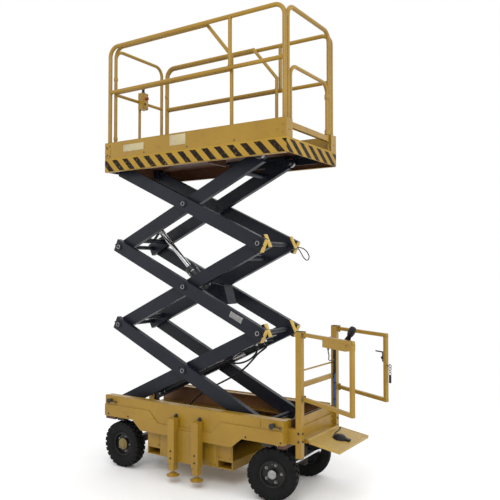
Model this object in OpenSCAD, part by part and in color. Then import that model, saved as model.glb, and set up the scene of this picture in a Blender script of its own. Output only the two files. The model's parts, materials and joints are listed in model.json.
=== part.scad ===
// Self-propelled scissor lift with an operator's step, in its half-raised working pose.
// Origin on the ground under the middle of the platform, +X towards the operator's station.

/* [Platform] */
// Length of the platform
deck_l = 2000; // [1700:10:2300]
// Width of the platform
deck_w = 900; // [840:10:1000]
// Height of the striped band around the deck
band_h = 124; // [116:1:150]
// Height of the toe boards above the floor
toe_h = 150; // [100:5:200]
// Height of the guard rails above the floor
guard_h = 1100; // [1000:10:1200]
// Height of the mid rails above the floor
mid_h = 645; // [500:5:700]
// Thickness of the band and toe board sheet
sheet_t = 8; // [4:1:10]
// Thickness of the floor
floor_t = 18; // [12:1:18]
// Diameter of the guard rail tubes
rail_d = 38; // [30:1:42]
// Bend radius at the rail corners
bend_r = 95; // [60:5:140]
// Distance from the end of the platform to its end rail
rail_end_in = 34; // [28:1:60]
// Distance of the short side post from the middle of the platform
short_post_x = 436; // [200:2:700]

/* [Extension deck] */
// Length of the slide-out deck
ext_l = 1430; // [1200:10:1500]
// Thickness of the slide-out deck
ext_t = 20; // [12:1:24]
// Diameter of the slide-out rail tubes
ext_d = 32; // [26:1:34]
// Length of the sloping part of the slide-out rails
ext_slope_l = 260; // [160:5:320]
// Fall of the sloping part of the slide-out rails
ext_slope_h = 320; // [200:5:400]
// Width of the platform control box
pod_w = 78; // [70:1:110]
// Height of the platform control box
pod_h = 165; // [100:1:200]
// Depth of the platform control box
pod_t = 64; // [50:1:80]

/* [Gate] */
// Height of the gate above the floor
gate_h = 620; // [520:5:700]
// Height of the gate's lower bar above the floor
gate_low = 120; // [80:5:180]
// Half width of the entry between the corner plates
entry_half = 352; // [320:1:380]

/* [Scissor] */
// Distance that an arm's end pins are closer than the platform is long
arm_short = 240; // [200:10:300]
// Height of an arm's section
arm_h = 120; // [100:1:124]
// Thickness of an arm's section
arm_t = 50; // [40:1:56]
// Gap between an inner and an outer arm
arm_gap = 6; // [5:0.5:8]
// Length of an arm past its end pins
arm_over = 50; // [44:1:54]
// Angle of the arms to the floor in this pose
rest_angle = 25.2; // [22:0.1:30]
// Width over the outer arms
scissor_w = 600; // [560:2:608]
// Diameter of the pins and shafts
pin_d = 40; // [30:1:44]
// Diameter of the pin heads and washers
head_d = 66; // [56:1:80]
// Height of a pin head
head_t = 9; // [6:1:12]
// Diameter of the cross tubes between inner arms
cross_d = 50; // [40:1:60]
// Diameter of the rollers
roller_d = 80; // [70:1:84]
// Width of the rollers
roller_w = 32; // [24:1:36]
// Distance of the fixed pivots from the end of the platform
pivot_in = 45; // [20:1:70]
// Height of the lower pivots
pivot_z = 564; // [556:1:580]

/* [Lift cylinder] */
// Diameter of the barrel
barrel_d = 108; // [90:1:116]
// Length of the barrel
barrel_l = 415; // [400:5:440]
// Diameter of the rod
rod_d = 45; // [32:1:56]
// Place of the base tube along its outer arm
base_at = 1060; // [1050:1:1120]
// Distance of the base tube below the arm's middle line
base_drop = 46; // [44:1:54]
// Diameter of the base tube
base_d = 48; // [40:1:50]
// Place of the rod's eye along its inner arm
eye_at = 300; // [260:1:340]
// Distance of the rod's eye above the arm's middle line
eye_rise = 62; // [56:1:80]
// Width of the rod's eye
eye_w = 56; // [40:1:64]

/* [Chassis] */
// Length of the side beams past the lowered rollers
beam_past = 45; // [30:1:60]
// Height of the side beams' top
beam_top = 651; // [640:1:664]
// Depth of the side beams
beam_h = 188; // [180:1:200]
// Width of a side beam's place beside the scissor
beam_w = 120; // [112:1:140]
// Thickness of the side beams' plates
web_t = 8; // [6:1:10]
// Width of the side beams' flanges
flange_w = 92; // [70:1:96]
// Height of the skirt's lower edge
skirt_z = 380; // [350:1:420]
// Length of the skirt's lower edge towards the fixed pivots
skirt_left = 545; // [480:5:580]
// Length of the skirt's lower edge towards the station
skirt_right = 457; // [420:5:480]
// Length of the skirt's sloping ends
skirt_slope = 100; // [60:5:120]
// Thickness of the raised pad on each side
pad_t = 10; // [5:1:12]
// Length of the belly box towards the fixed pivots
belly_left = 517; // [480:1:560]
// Length of the belly box towards the station
belly_right = 425; // [400:1:470]
// Width of the belly box
belly_w = 720; // [660:2:740]
// Height of the belly box's floor above the ground
belly_z = 165; // [140:1:190]
// Thickness of the belly box's walls
belly_t = 8; // [5:1:10]
// Width of a fork pocket
pocket_w = 140; // [120:1:160]
// Height of a fork pocket
pocket_h = 56; // [48:1:70]

/* [Running gear] */
// Distance of the fixed axle from the side beams' end
rear_in = 190; // [180:1:220]
// Distance of the steered axle from the side beams' end
front_in = 165; // [160:1:180]
// Diameter of the tyres
tyre_d = 420; // [400:1:426]
// Width of the tyres
tyre_w = 110; // [90:1:116]
// Diameter of the rims
rim_d = 210; // [190:1:220]
// Distance between the tyres' middles
track = 700; // [690:2:740]
// Size of the axle beams
axle_s = 60; // [50:1:70]
// Distance of a kingpin from the middle plane
kingpin_y = 240; // [236:1:246]
// Diameter of the kingpins
kingpin_d = 28; // [22:1:32]
// Diameter of the wheel spindles
spindle_d = 40; // [32:1:44]
// Length of the steering arms
steer_arm = 130; // [110:1:140]
// Angle that the wheels are turned to in this pose
steer_rest = 15; // [0:1:20]
// Diameter of the tie rod
tie_d = 22; // [16:1:26]

/* [Jack legs] */
// Distance of the legs from the middle
jack_x = 130; // [110:1:160]
// Size of a leg's housing
housing_s = 70; // [64:1:76]
// Wall of a leg's housing
housing_t = 7; // [5:1:9]
// Height of the housing's lower end
housing_z = 172; // [150:1:190]
// Height of the housing's upper end
housing_top = 552; // [520:1:580]
// Diameter of the feet
foot_d = 112; // [90:1:130]
// Height of the feet above the ground
foot_clear = 60; // [40:1:64]

/* [Operator's station] */
// Size of the posts
post_s = 50; // [44:1:54]
// Gap between the posts and the platform
post_gap = 17; // [12:1:30]
// Distance of the posts from the middle plane
post_y = 320; // [310:1:330]
// Height of the posts' lower ends
post_z = 360; // [360:1:380]
// Height of the posts' tops
post_top = 1352; // [1340:1:1400]
// Height of the cross bar
bar_z = 923; // [900:1:960]
// Size of the cross bar
bar_s = 38; // [30:1:42]
// Size of the guards' tubes
guard_s = 28; // [26:1:34]
// Length of the guards
guard_l = 640; // [560:5:680]
// Height of the guards' top rails
guard_top = 1330; // [1320:1:1332]
// Height of the guards' lower rails
guard_low = 825; // [818:1:860]
// Angle that the guards are swung to in this pose
guard_swing = 30; // [20:1:32]
// Length of the step plate
step_l = 285; // [260:1:300]
// Width of the step plate
step_w = 560; // [500:2:576]
// Thickness of the step plate
step_t = 18; // [12:1:20]
// Angle that the step plate hangs down by
step_tilt = 9; // [4:1:12]
// Height of the step plate's hinge
step_z = 487; // [482:1:500]

/* [Hidden] */
$fn = 48;
// Clearances: between seated pieces, around pins, and between pieces that swing past each other
seat_gap = 0.3;
run_gap = 0.05;
swing_gap = 6;
// Overrun of cuts
cut = 2;

// Scissor geometry
pivot_x = pivot_in - deck_l / 2;
arm_l = deck_l - arm_short;
arm_dx = arm_l * cos(rest_angle);
arm_dz = arm_l * sin(rest_angle);
levels = [1, 2, 3];
outer_y = scissor_w / 2 - arm_t / 2;
inner_y = outer_y - arm_t - arm_gap;
inner_face = inner_y - arm_t / 2;
top_pin_z = pivot_z + len(levels) * arm_dz;
roller_r = roller_d / 2;
nose_d = 1.5 * pin_d;
nose_back = pin_d * 3 / 10;
lower_cross_at = 2 * arm_over + cross_d;
upper_cross_at = arm_l - lower_cross_at - arm_h;

// Platform levels
deck_z = top_pin_z - roller_r;
floor_z = deck_z + band_h;
rail_z = floor_z + guard_h - rail_d / 2;
mid_z = floor_z + mid_h;
rail_foot_d = rail_d + sheet_t;
rail_y = deck_w / 2 - sheet_t - rail_foot_d / 2 - seat_gap;
rail_x = deck_l / 2 - rail_end_in;
mid_d = rail_d - cut;
rail_foot_h = toe_h * 2 / 3;

// Extension deck
ext_y = rail_y - rail_foot_d / 2 - swing_gap - ext_d / 2;
ext_x0 = -deck_l / 2 + sheet_t + 2 * seat_gap + ext_d / 2;
ext_x1 = ext_x0 + ext_l - ext_d;
ext_w = 2 * ext_y + ext_d;
ext_z = floor_z + seat_gap;
ext_top = ext_z + ext_t;
ext_foot_h = toe_h * 2 / 5;
elbow_t = 3;
ext_mid_d = ext_d - cut;
end_leg_y = ext_y - ext_d - swing_gap;
end_leg_x = ext_x0;
side_leg_x = ext_x0 + ext_d + swing_gap;

// Lift cylinder
eye_ring_d = rod_d + head_d / 2;
base_ring_d = base_d + 2 * head_t + arm_gap;
base_w = barrel_d;
lug_t = 2 * arm_gap;
rod_back = 235;
cast_left = 110;
cast_right = 190;
cast_top = 176;
cast_top_l = 70;

// Chassis
cross_l = 60;
beam_left = deck_l / 2;
beam_right = pivot_x + arm_l + roller_r + beam_past + cross_l;
beam_z = beam_top - beam_h;
frame_w = scissor_w + 2 * beam_w;
web_y = frame_w / 2 - web_t;
flange_y = frame_w / 2 - flange_w;
pad_y = frame_w / 2 + pad_t;
track_z = pivot_z - roller_r - seat_gap;
track_in_y = scissor_w / 2 + head_t + swing_gap;
roller_y = track_in_y + seat_gap;
end_box_y = scissor_w / 2 - swing_gap;
fold_share = 0.43;
fold_z = beam_top - fold_share * beam_h;
bracket_t = 2 * arm_gap;
ear_d = 2 * pin_d - 2 * swing_gap;
hanger_t = 20;

// Running gear
rear_x = beam_left - rear_in;
front_x = beam_right - front_in;
axle_z = tyre_d / 2;
yoke_t = 15;
knuckle_d = 2 * kingpin_d;
knuckle_h = 2 * axle_s;
yoke_gap = seat_gap;
hub_d = spindle_d + axle_s / 2;
hub_l = 70;
cap_t = 6;
nuts = 5;
nut_d = 21;
nut_t = 12;
nut_out = (hub_d + rim_d) / 4;
wheel_out = track / 2 - kingpin_y;
tyre_gap = seat_gap;
axle_cross_z = beam_z - cross_l / 2;
steer_arm_t = 14;
steer_arm_w = 28;
steer_arm_z = axle_z + knuckle_h / 2 - steer_arm_t - yoke_t;
tie_eye_d = 34;
tie_pin_d = 14;

// Jack legs
jack_y = pad_y + housing_s / 2;
leg_s = housing_s - 2 * housing_t - 2 * seat_gap;
foot_t = 8;
foot_cone_h = 16;
screw_d = 26;
leg_low_z = foot_clear + foot_t + foot_cone_h + screw_d;
leg_top_z = housing_top - housing_t - foot_clear;

// Operator's station
post_x = deck_l / 2 + post_gap + post_s / 2;
post_face = post_x + post_s / 2;
hinge_d = 14;
hinge_x = post_face + guard_s / 2 + swing_gap;
hinge_lug_t = 8;
hinge_lug_w = guard_s - hinge_lug_t;
panel_t = 6;
panel_x = post_x - post_s / 2 + panel_t / 2;
panel_low_h = 110;
panel_high_h = 70;
panel_fold_z = step_z + panel_low_h;
panel_top_z = panel_fold_z + panel_high_h;
panel_half = post_y - post_s / 2 - seat_gap;
step_pin_d = 16;
step_eye_d = 30;
step_out = 15;
step_x = post_face + step_out;
step_start = step_eye_d / 2 + swing_gap;
conduit_d = 22;
conduit_x = post_face - conduit_d / 2;
conduit_y = post_y - post_s / 2 - conduit_d / 2 - seat_gap;

// Helpers

// A box from its low to its high corner
module block(low, high) {
    translate(low) cube(high - low);
}

// A box that is centred on the middle plane
module wide_block(x0, x1, half, z0, z1) {
    block([x0, -half, z0], [x1, half, z1]);
}

// The child on the far side and its mirror image on the near side
module both_sides() {
    children();
    mirror([0, 1, 0]) children();
}

// The child on the far side, or its mirror image on the near side
module on_side(side) {
    if (side > 0) children();
    else mirror([0, 1, 0]) children();
}

// A cylinder along Y
module bar_y(d, y0, y1) {
    translate([0, y0, 0]) rotate([-90, 0, 0]) cylinder(d = d, h = y1 - y0);
}

// A plate across Y from an outline in X and Z
module plate_y(outline, y0, y1) {
    translate([0, y1, 0]) rotate([90, 0, 0]) linear_extrude(y1 - y0) polygon(outline);
}

// A round bar between two points
module rod_between(a, b, d) {
    v = b - a;
    translate(a) rotate([0, acos(v.z / norm(v)), atan2(v.y, v.x)]) cylinder(d = d, h = norm(v));
}

function unit(v) = v / norm(v);
function bend_angle(a, p, b) = acos(unit(p - a) * unit(b - p));
function bend_back(a, p, b, r) = r * tan(bend_angle(a, p, b) / 2);

// One bend of a tube, round the corner p between a and b
module tube_bend(a, p, b, d, r) {
    u = unit(p - a);
    v = unit(b - p);
    n = unit(v - u * (u * v));
    z = cross(-n, u);
    c = p - u * bend_back(a, p, b, r) + n * r;
    multmatrix([[-n.x, u.x, z.x, c.x], [-n.y, u.y, z.y, c.y], [-n.z, u.z, z.z, c.z], [0, 0, 0, 1]])
        rotate_extrude(angle = bend_angle(a, p, b)) translate([r, 0]) circle(d = d);
}

// A tube that follows the points, bent at each inner one
module bent_tube(points, d, r) {
    last = len(points) - 1;
    for (i = [0:last - 1]) {
        u = unit(points[i + 1] - points[i]);
        from = i == 0 ? 0 : bend_back(points[i - 1], points[i], points[i + 1], r);
        to = i == last - 1 ? 0 : bend_back(points[i], points[i + 1], points[i + 2], r);
        rod_between(points[i] + u * from, points[i + 1] - u * to, d);
    }
    for (i = [1:1:last - 1]) tube_bend(points[i - 1], points[i], points[i + 1], d, r);
}

// Chassis

// Outline of a side beam's web with its skirt
function web_outline() = [
    [-beam_left, beam_top], [beam_right, beam_top], [beam_right, beam_z],
    [skirt_right + skirt_slope, beam_z], [skirt_right, skirt_z], [-skirt_left, skirt_z],
    [-skirt_left - skirt_slope, beam_z], [-beam_left, beam_z]
];

// Outline of the raised pad below the fold line
function pad_outline() = [
    [-beam_left, fold_z], [-skirt_left + skirt_slope, fold_z],
    [-skirt_left + 2 * skirt_slope, beam_z + web_t], [skirt_right - 2 * skirt_slope, beam_z + web_t],
    [skirt_right - skirt_slope, fold_z], [beam_right, fold_z], [beam_right, beam_z],
    [skirt_right + skirt_slope, beam_z], [skirt_right, skirt_z], [-skirt_left, skirt_z],
    [-skirt_left - skirt_slope, beam_z], [-beam_left, beam_z]
];

// A side beam on the far side
module side_beam() {
    plate_y(web_outline(), web_y, frame_w / 2);
    plate_y(pad_outline(), frame_w / 2, pad_y);
    for (z = [beam_z, beam_top - web_t])
        block([-beam_left, flange_y, z], [beam_right, web_y, z + web_t]);
    block([pivot_x + arm_l / 2, track_in_y, track_z - web_t], [beam_right - web_t, web_y, track_z]);
    block([beam_right - web_t, end_box_y, beam_z], [beam_right, web_y, beam_top]);
    block([beam_right - cross_l, end_box_y, beam_z], [beam_right - web_t, end_box_y + web_t, beam_top]);
}

module side_beam_near() color("goldenrod") on_side(-1) side_beam();

module side_beam_far() color("goldenrod") on_side(1) side_beam();

// End members that join the two side beams
module cross_members() color("goldenrod") {
    wide_block(-beam_left, -beam_left + 2 * cross_l, web_y, axle_cross_z, beam_z);
    wide_block(beam_right - cross_l, beam_right, web_y, axle_cross_z, beam_z);
    wide_block(beam_right - web_t, beam_right, end_box_y, beam_z, beam_top - web_t);
}

// Open-ended box under the frame, with a fork pocket across each end
module belly_box() color("goldenrod") difference() {
    wide_block(-belly_left, belly_right, belly_w / 2, belly_z, beam_z);
    for (x = [-belly_left + belly_t, belly_right - belly_t - pocket_w])
        wide_block(x, x + pocket_w, belly_w / 2 + cut, belly_z + belly_t, belly_z + belly_t + pocket_h);
    wide_block(-belly_left + belly_t, belly_right + cut, belly_w / 2 - belly_t,
        belly_z + 2 * belly_t + pocket_h, beam_z - belly_t);
}

// Batteries and pump as one mass inside the belly box
module battery_block() color("dimgray")
    wide_block(-belly_left + 2 * pocket_w, belly_right - 2 * pocket_w, belly_w / 3,
        belly_z + 2 * belly_t + pocket_h, beam_z - cross_l);

// Ears and pins of the two fixed pivots
module pivot_brackets() color("goldenrod") both_sides() {
    for (y = [inner_face - swing_gap - bracket_t, inner_y + arm_t / 2 + swing_gap]) {
        block([pivot_x - ear_d / 2, y, beam_z], [pivot_x + ear_d / 2, y + bracket_t, pivot_z]);
        translate([pivot_x, 0, pivot_z]) bar_y(ear_d, y, y + bracket_t);
    }
    translate([pivot_x, 0, pivot_z])
        bar_y(pin_d,
            inner_face - swing_gap - 2 * bracket_t,
            inner_y + arm_t / 2 + swing_gap + 2 * bracket_t);
}

// Running gear

// Cross member and hanger plates of an axle
module axle_hanger(x, half) {
    wide_block(x - axle_s * 2 / 3, x + axle_s * 2 / 3, web_y, axle_cross_z, beam_z);
    both_sides()
        block([x - axle_s / 2, half - hanger_t, axle_z], [x + axle_s / 2, half, axle_cross_z]);
}

// Fixed axle with its spindles
module rear_axle() color("dimgray") {
    half = kingpin_y;
    axle_hanger(-rear_x, half - hanger_t);
    wide_block(-rear_x - axle_s / 2, -rear_x + axle_s / 2, half, axle_z - axle_s / 2, axle_z + axle_s / 2);
    translate([-rear_x, 0, axle_z]) bar_y(spindle_d, -track / 2 - hub_l / 4, track / 2 + hub_l / 4);
}

// Steered axle with a yoke and a kingpin at each end
module front_axle() color("dimgray") {
    half = kingpin_y - knuckle_d / 2 - 2 * swing_gap;
    top = axle_z + knuckle_h / 2 + yoke_gap;
    low = axle_z - knuckle_h / 2 - yoke_gap;
    axle_hanger(front_x, half - axle_s);
    wide_block(front_x - axle_s / 2, front_x + axle_s / 2, half, axle_z - axle_s / 2, axle_z + axle_s / 2);
    both_sides() {
        block([front_x - axle_s / 3, half - yoke_t, low - yoke_t],
            [front_x + axle_s / 3, half, top + yoke_t]);
        for (z = [low - yoke_t, top]) {
            block([front_x - axle_s / 3, half - yoke_t, z], [front_x + axle_s / 3, kingpin_y, z + yoke_t]);
            translate([front_x, kingpin_y, z]) cylinder(d = axle_s, h = yoke_t);
        }
        translate([front_x, kingpin_y, low - yoke_t - kingpin_d / 2])
            cylinder(d = kingpin_d, h = knuckle_h + 2 * yoke_gap + 2 * yoke_t + kingpin_d);
    }
}

// The child in the frame of a steered knuckle, with the wheel towards the side
module steered(side) {
    translate([front_x, side * kingpin_y, axle_z]) rotate([0, 0, steer_rest]) children();
}

// Knuckle with its spindle and steering arm
module knuckle(side) {
    steered(side) difference() {
        union() {
            translate([0, 0, -knuckle_h / 2]) cylinder(d = knuckle_d, h = knuckle_h);
            on_side(side) bar_y(spindle_d, 0, wheel_out + hub_l / 4);
            translate([0, 0, steer_arm_z - axle_z]) {
                block([0, -steer_arm_w / 2, 0], [steer_arm, steer_arm_w / 2, steer_arm_t]);
                translate([steer_arm, 0, 0]) cylinder(d = steer_arm_w, h = steer_arm_t);
                translate([steer_arm, 0, 0]) cylinder(d = tie_pin_d, h = steer_arm_t + tie_d + seat_gap);
            }
        }
        translate([0, 0, -knuckle_h / 2 - cut])
            cylinder(d = kingpin_d + 2 * run_gap, h = knuckle_h + 2 * cut);
    }
}

module knuckle_near() color("gray") knuckle(-1);

module knuckle_far() color("gray") knuckle(1);

// Tie rod between the pins of the two steering arms
module tie_rod() color("silver")
    translate([
        front_x + steer_arm * cos(steer_rest),
        steer_arm * sin(steer_rest),
        steer_arm_z + steer_arm_t + seat_gap
    ])
        difference() {
            union() {
                for (side = [-1, 1]) translate([0, side * kingpin_y, 0]) cylinder(d = tie_eye_d, h = tie_d);
                translate([0, 0, tie_d / 2]) bar_y(tie_d, -kingpin_y, kingpin_y);
            }
            for (side = [-1, 1]) translate([0, side * kingpin_y, -cut])
                cylinder(d = tie_pin_d + 2 * run_gap, h = tie_d + 2 * cut);
        }

// The child at the middle of a wheel on the far side of its spindle frame
module at_wheel(front, side) {
    if (front) steered(side) on_side(side) translate([0, wheel_out, 0]) children();
    else on_side(side) translate([-rear_x, track / 2, axle_z]) children();
}

// Half section of a tyre as shares of its section height and half width, from bead to tread
tyre_shares = [
    [0, 0.62], [0.10, 0.80], [0.45, 1], [0.72, 0.99], [0.90, 0.95], [0.98, 0.84], [1, 0.74],
    [1, 0.42], [0.93, 0.40], [0.93, 0.32], [1, 0.30]
];

module tyre() {
    r0 = rim_d / 2;
    rh = tyre_d / 2 - r0;
    side = [for (p = tyre_shares) [r0 + p[0] * rh, p[1] * tyre_w / 2]];
    other = [for (i = [len(side) - 1:-1:0]) [side[i].x, -side[i].y]];
    rotate([90, 0, 0]) rotate_extrude() polygon(concat(side, other));
}

// Rim with its dished disc and hub
module rim() {
    rim_w = tyre_w * tyre_shares[0][1];
    rim_t = hub_l / 8;
    rotate([90, 0, 0]) difference() {
        union() {
            translate([0, 0, -rim_w / 2]) difference() {
                cylinder(d = rim_d - 2 * tyre_gap, h = rim_w);
                translate([0, 0, -cut]) cylinder(d = rim_d - 2 * tyre_gap - 2 * rim_t, h = rim_w + 2 * cut);
            }
            translate([0, 0, -rim_t / 2]) cylinder(d = rim_d - rim_t, h = rim_t);
            translate([0, 0, -hub_l / 2]) cylinder(d = hub_d, h = hub_l);
            translate([0, 0, -hub_l / 2 - cap_t]) cylinder(d1 = hub_d - 2 * cap_t, d2 = hub_d, h = cap_t);
            for (i = [0:nuts - 1])
                rotate([0, 0, i * 360 / nuts]) translate([nut_out, 0, -rim_t / 2 - nut_t])
                cylinder(d = nut_d, h = nut_t + rim_t / 2, $fn = 6);
        }
        translate([0, 0, -hub_l / 4 - seat_gap]) cylinder(d = spindle_d + 2 * run_gap, h = hub_l);
    }
}

module rim_rear_near() color("dimgray") at_wheel(false, -1) rim();

module rim_rear_far() color("dimgray") at_wheel(false, 1) rim();

module rim_front_near() color("dimgray") at_wheel(true, -1) rim();

module rim_front_far() color("dimgray") at_wheel(true, 1) rim();

module tyre_rear_near() color("black") at_wheel(false, -1) tyre();

module tyre_rear_far() color("black") at_wheel(false, 1) tyre();

module tyre_front_near() color("black") at_wheel(true, -1) tyre();

module tyre_front_far() color("black") at_wheel(true, 1) tyre();

// Jack legs

// Pair of leg housings with the plate between them, on the far side
module jack_housing() {
    bore = housing_s - 2 * housing_t;
    difference() {
        union() {
            block([-jack_x, pad_y, housing_z], [jack_x, pad_y + housing_t, skirt_z + housing_s]);
            for (x = [-jack_x, jack_x])
                block([x - housing_s / 2, pad_y, housing_z],
                    [x + housing_s / 2, pad_y + housing_s, housing_top]);
        }
        for (x = [-jack_x, jack_x])
            block([x - bore / 2, jack_y - bore / 2, housing_z - cut],
                [x + bore / 2, jack_y + bore / 2, housing_top - housing_t]);
    }
}

module jack_housing_near() color("goldenrod") on_side(-1) jack_housing();

module jack_housing_far() color("goldenrod") on_side(1) jack_housing();

// Leg with its screw and foot, on the far side
module jack_leg(x) {
    translate([x - leg_s / 2, jack_y - leg_s / 2, leg_low_z]) cube([leg_s, leg_s, leg_top_z - leg_low_z]);
    translate([x, jack_y, foot_clear]) {
        cylinder(d = foot_d, h = foot_t);
        translate([0, 0, foot_t]) cylinder(d1 = foot_d - foot_t, d2 = 2 * screw_d, h = foot_cone_h);
        cylinder(d = screw_d, h = leg_low_z - foot_clear + screw_d);
    }
}

module jack_leg_near_left() color("goldenrod") on_side(-1) jack_leg(-jack_x);

module jack_leg_near_right() color("goldenrod") on_side(-1) jack_leg(jack_x);

module jack_leg_far_left() color("goldenrod") on_side(1) jack_leg(-jack_x);

module jack_leg_far_right() color("goldenrod") on_side(1) jack_leg(jack_x);

// Operator's station

// Posts with cross bar, feet to the chassis and hinge lugs
module station_frame() color("goldenrod") {
    both_sides() {
        block([post_x - post_s / 2, post_y - post_s / 2, post_z],
            [post_face, post_y + post_s / 2, post_top]);
        block([beam_right, post_y - post_s / 2, beam_z],
            [post_x, post_y + post_s / 2, beam_z + 2 * cross_l]);
        for (z = [guard_low, guard_top]) hinge_lugs(z);
    }
    wide_block(post_x - post_s / 2, post_x, post_y, bar_z - bar_s / 2, bar_z + bar_s / 2);
    translate([post_x - hinge_d, 0, bar_z + 3 * bar_s]) bar_y(hinge_d, -post_y, post_y);
}

// A pair of lugs and the pin of one guard hinge
module hinge_lugs(z) {
    gap = guard_s / 2 + seat_gap;
    for (dz = [-gap - hinge_lug_t, gap]) {
        block([post_x, post_y - hinge_lug_w / 2, z + dz],
            [hinge_x, post_y + hinge_lug_w / 2, z + dz + hinge_lug_t]);
        translate([hinge_x, post_y, z + dz]) cylinder(d = hinge_lug_w, h = hinge_lug_t);
    }
    translate([hinge_x, post_y, z - gap]) cylinder(d = hinge_d, h = 2 * gap);
}

// Folded apron between the posts, with the step plate's lugs and pin
module station_panel() color("goldenrod") {
    fold = 2 * panel_t;
    plate_y([
        [panel_x, panel_top_z], [panel_x + panel_t, panel_top_z], [panel_x + panel_t, panel_fold_z],
        [panel_x + panel_t + fold, panel_fold_z], [panel_x + panel_t + fold, step_z - step_eye_d],
        [panel_x + fold, step_z - step_eye_d], [panel_x + fold, panel_fold_z - panel_t],
        [panel_x, panel_fold_z - panel_t]
    ], -panel_half, panel_half);
    both_sides() {
        block([panel_x + fold, step_w / 2 - hinge_d, step_z - step_eye_d / 2],
            [step_x, step_w / 2, step_z + step_eye_d / 2]);
        translate([step_x, 0, step_z]) bar_y(step_eye_d, step_w / 2 - hinge_d, step_w / 2);
    }
    translate([step_x, 0, step_z]) bar_y(step_pin_d, -step_w / 2, step_w / 2);
}

// Cable conduit on the far post, and the sleeve below it
module conduit() color("black")
    translate([conduit_x, conduit_y, bar_z + bar_s / 2])
        cylinder(d = conduit_d, h = guard_top - bar_z - 3 * bar_s);

module conduit_sleeve() color("royalblue")
    translate([conduit_x, conduit_y, panel_top_z])
        cylinder(d = conduit_d, h = bar_z + bar_s / 2 - panel_top_z);

// The child in the frame of a guard, with its hinge at the origin
module guarded(side) {
    translate([hinge_x, side * post_y, 0]) rotate([0, 0, -guard_swing]) children();
}

// Guard of square tube with an eye at each hinge
module guard() {
    half = guard_s / 2;
    difference() {
        union() {
            for (z = [guard_low, guard_top]) {
                block([0, -half, z - half], [guard_l, half, z + half]);
                translate([0, 0, z - half]) cylinder(d = guard_s, h = guard_s);
            }
            block([guard_l - guard_s, -half, guard_low], [guard_l, half, guard_top]);
        }
        for (z = [guard_low, guard_top]) translate([0, 0, z - half - cut])
            cylinder(d = hinge_d + 2 * run_gap, h = guard_s + 2 * cut);
    }
}

module guard_near() color("goldenrod") guarded(-1) guard();

module guard_far() color("goldenrod") guarded(1) guard();

// Control box that hangs under the near guard's top rail
box_l = 290;
box_w = 90;
box_h = 52;
box_start = 270;

module control_box() color("goldenrod") guarded(-1) {
    top = guard_top - guard_s / 2;
    block([box_start, -guard_s / 2, top - box_h], [box_start + box_l, box_w - guard_s / 2, top]);
}

// Grip of the drive lever on the control box
grip_d = 38;
grip_h = 125;
grip_lean = 38;

module control_grip() color("black") guarded(-1)
    translate([
        box_start + box_l - 2 * grip_d,
        box_w - guard_s / 2 - grip_d / 2,
        guard_top - guard_s / 2 + seat_gap
    ]) {
        cylinder(d = grip_d, h = grip_d / 2);
        translate([0, 0, grip_d / 4]) rotate([0, grip_lean, 0])
            cylinder(d1 = grip_d / 2, d2 = grip_d, h = grip_h);
    }

// The child in the frame of the step plate, with its hinge along Y at the origin
module stepped() {
    translate([step_x, 0, step_z]) rotate([0, step_tilt, 0]) children();
}

// Step plate with its hinge eyes
module step_plate() color("goldenrod") stepped() {
    eye_half = step_w / 2 - hinge_d - seat_gap;
    block([step_start, -step_w / 2, -step_t / 2], [step_l, step_w / 2, step_t / 2]);
    difference() {
        union() {
            bar_y(step_eye_d, -eye_half, eye_half);
            block([0, -eye_half, -step_t / 2], [2 * step_start, eye_half, step_t / 2]);
        }
        bar_y(step_pin_d + 2 * run_gap, -step_w, step_w);
    }
}

// Domed foot pedal on the step plate
pedal_d = 116;
pedal_h = 36;
pedal_share = 0.55;

module foot_pedal() color("black") stepped()
    translate([step_l * pedal_share, 0, step_t / 2]) {
        cylinder(d = pedal_d, h = pedal_h / 4);
        translate([0, 0, pedal_h / 4]) cylinder(d1 = pedal_d, d2 = pedal_d * 2 / 3, h = pedal_h / 2);
        translate([0, 0, pedal_h * 3 / 4])
            cylinder(d1 = pedal_d * 2 / 3, d2 = pedal_d / 3, h = pedal_h / 4);
        block([0, -pedal_h / 2, 0], [pedal_d * 3 / 4, pedal_h / 2, pedal_h / 2]);
    }

// Scissor

// The child in the frame of an inner arm: along +X from its lower pin
module inner_frame(level) {
    translate([pivot_x, 0, pivot_z + (level - 1) * arm_dz]) rotate([0, -rest_angle, 0]) children();
}

// The child in the frame of an outer arm: along +X from its upper pin
module outer_frame(level) {
    translate([pivot_x, 0, pivot_z + level * arm_dz]) rotate([0, rest_angle, 0]) children();
}

// Arm bars on both sides, from one place along them to another
module arm_pair(y, from, to) {
    both_sides() block([from, y - arm_t / 2, -arm_h / 2], [to, y + arm_t / 2, arm_h / 2]);
}

// Rounded noses of a pair of arms, for an end that turns close under the deck
module arm_noses(at, y) {
    both_sides() translate([at, 0, 0]) bar_y(nose_d, y - arm_t / 2, y + arm_t / 2);
}

// Running bores of a pair of arms at a place along them
module arm_bores(at, y) {
    both_sides() translate([at, 0, 0]) bar_y(pin_d + 2 * run_gap, y - arm_t, y + arm_t);
}

// Inner arms of one level with their cross tubes
module inner_arms(level) {
    inner_frame(level) {
        difference() {
            union() {
                arm_pair(inner_y, -arm_over, level < len(levels) ? arm_l + arm_over : arm_l - nose_back);
                for (at = [lower_cross_at, upper_cross_at])
                    translate([at, 0, 0]) bar_y(cross_d, -inner_y, inner_y);
                if (level == len(levels)) {
                    arm_noses(arm_l, inner_y);
                    eye_bracket();
                    both_sides() translate([arm_l, 0, 0])
                        bar_y(pin_d, inner_y, inner_y + arm_t / 2 + swing_gap + roller_w);
                }
            }
            for (at = level == len(levels) ? [0, arm_l / 2] : [0, arm_l / 2, arm_l]) arm_bores(at, inner_y);
        }
    }
}

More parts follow.
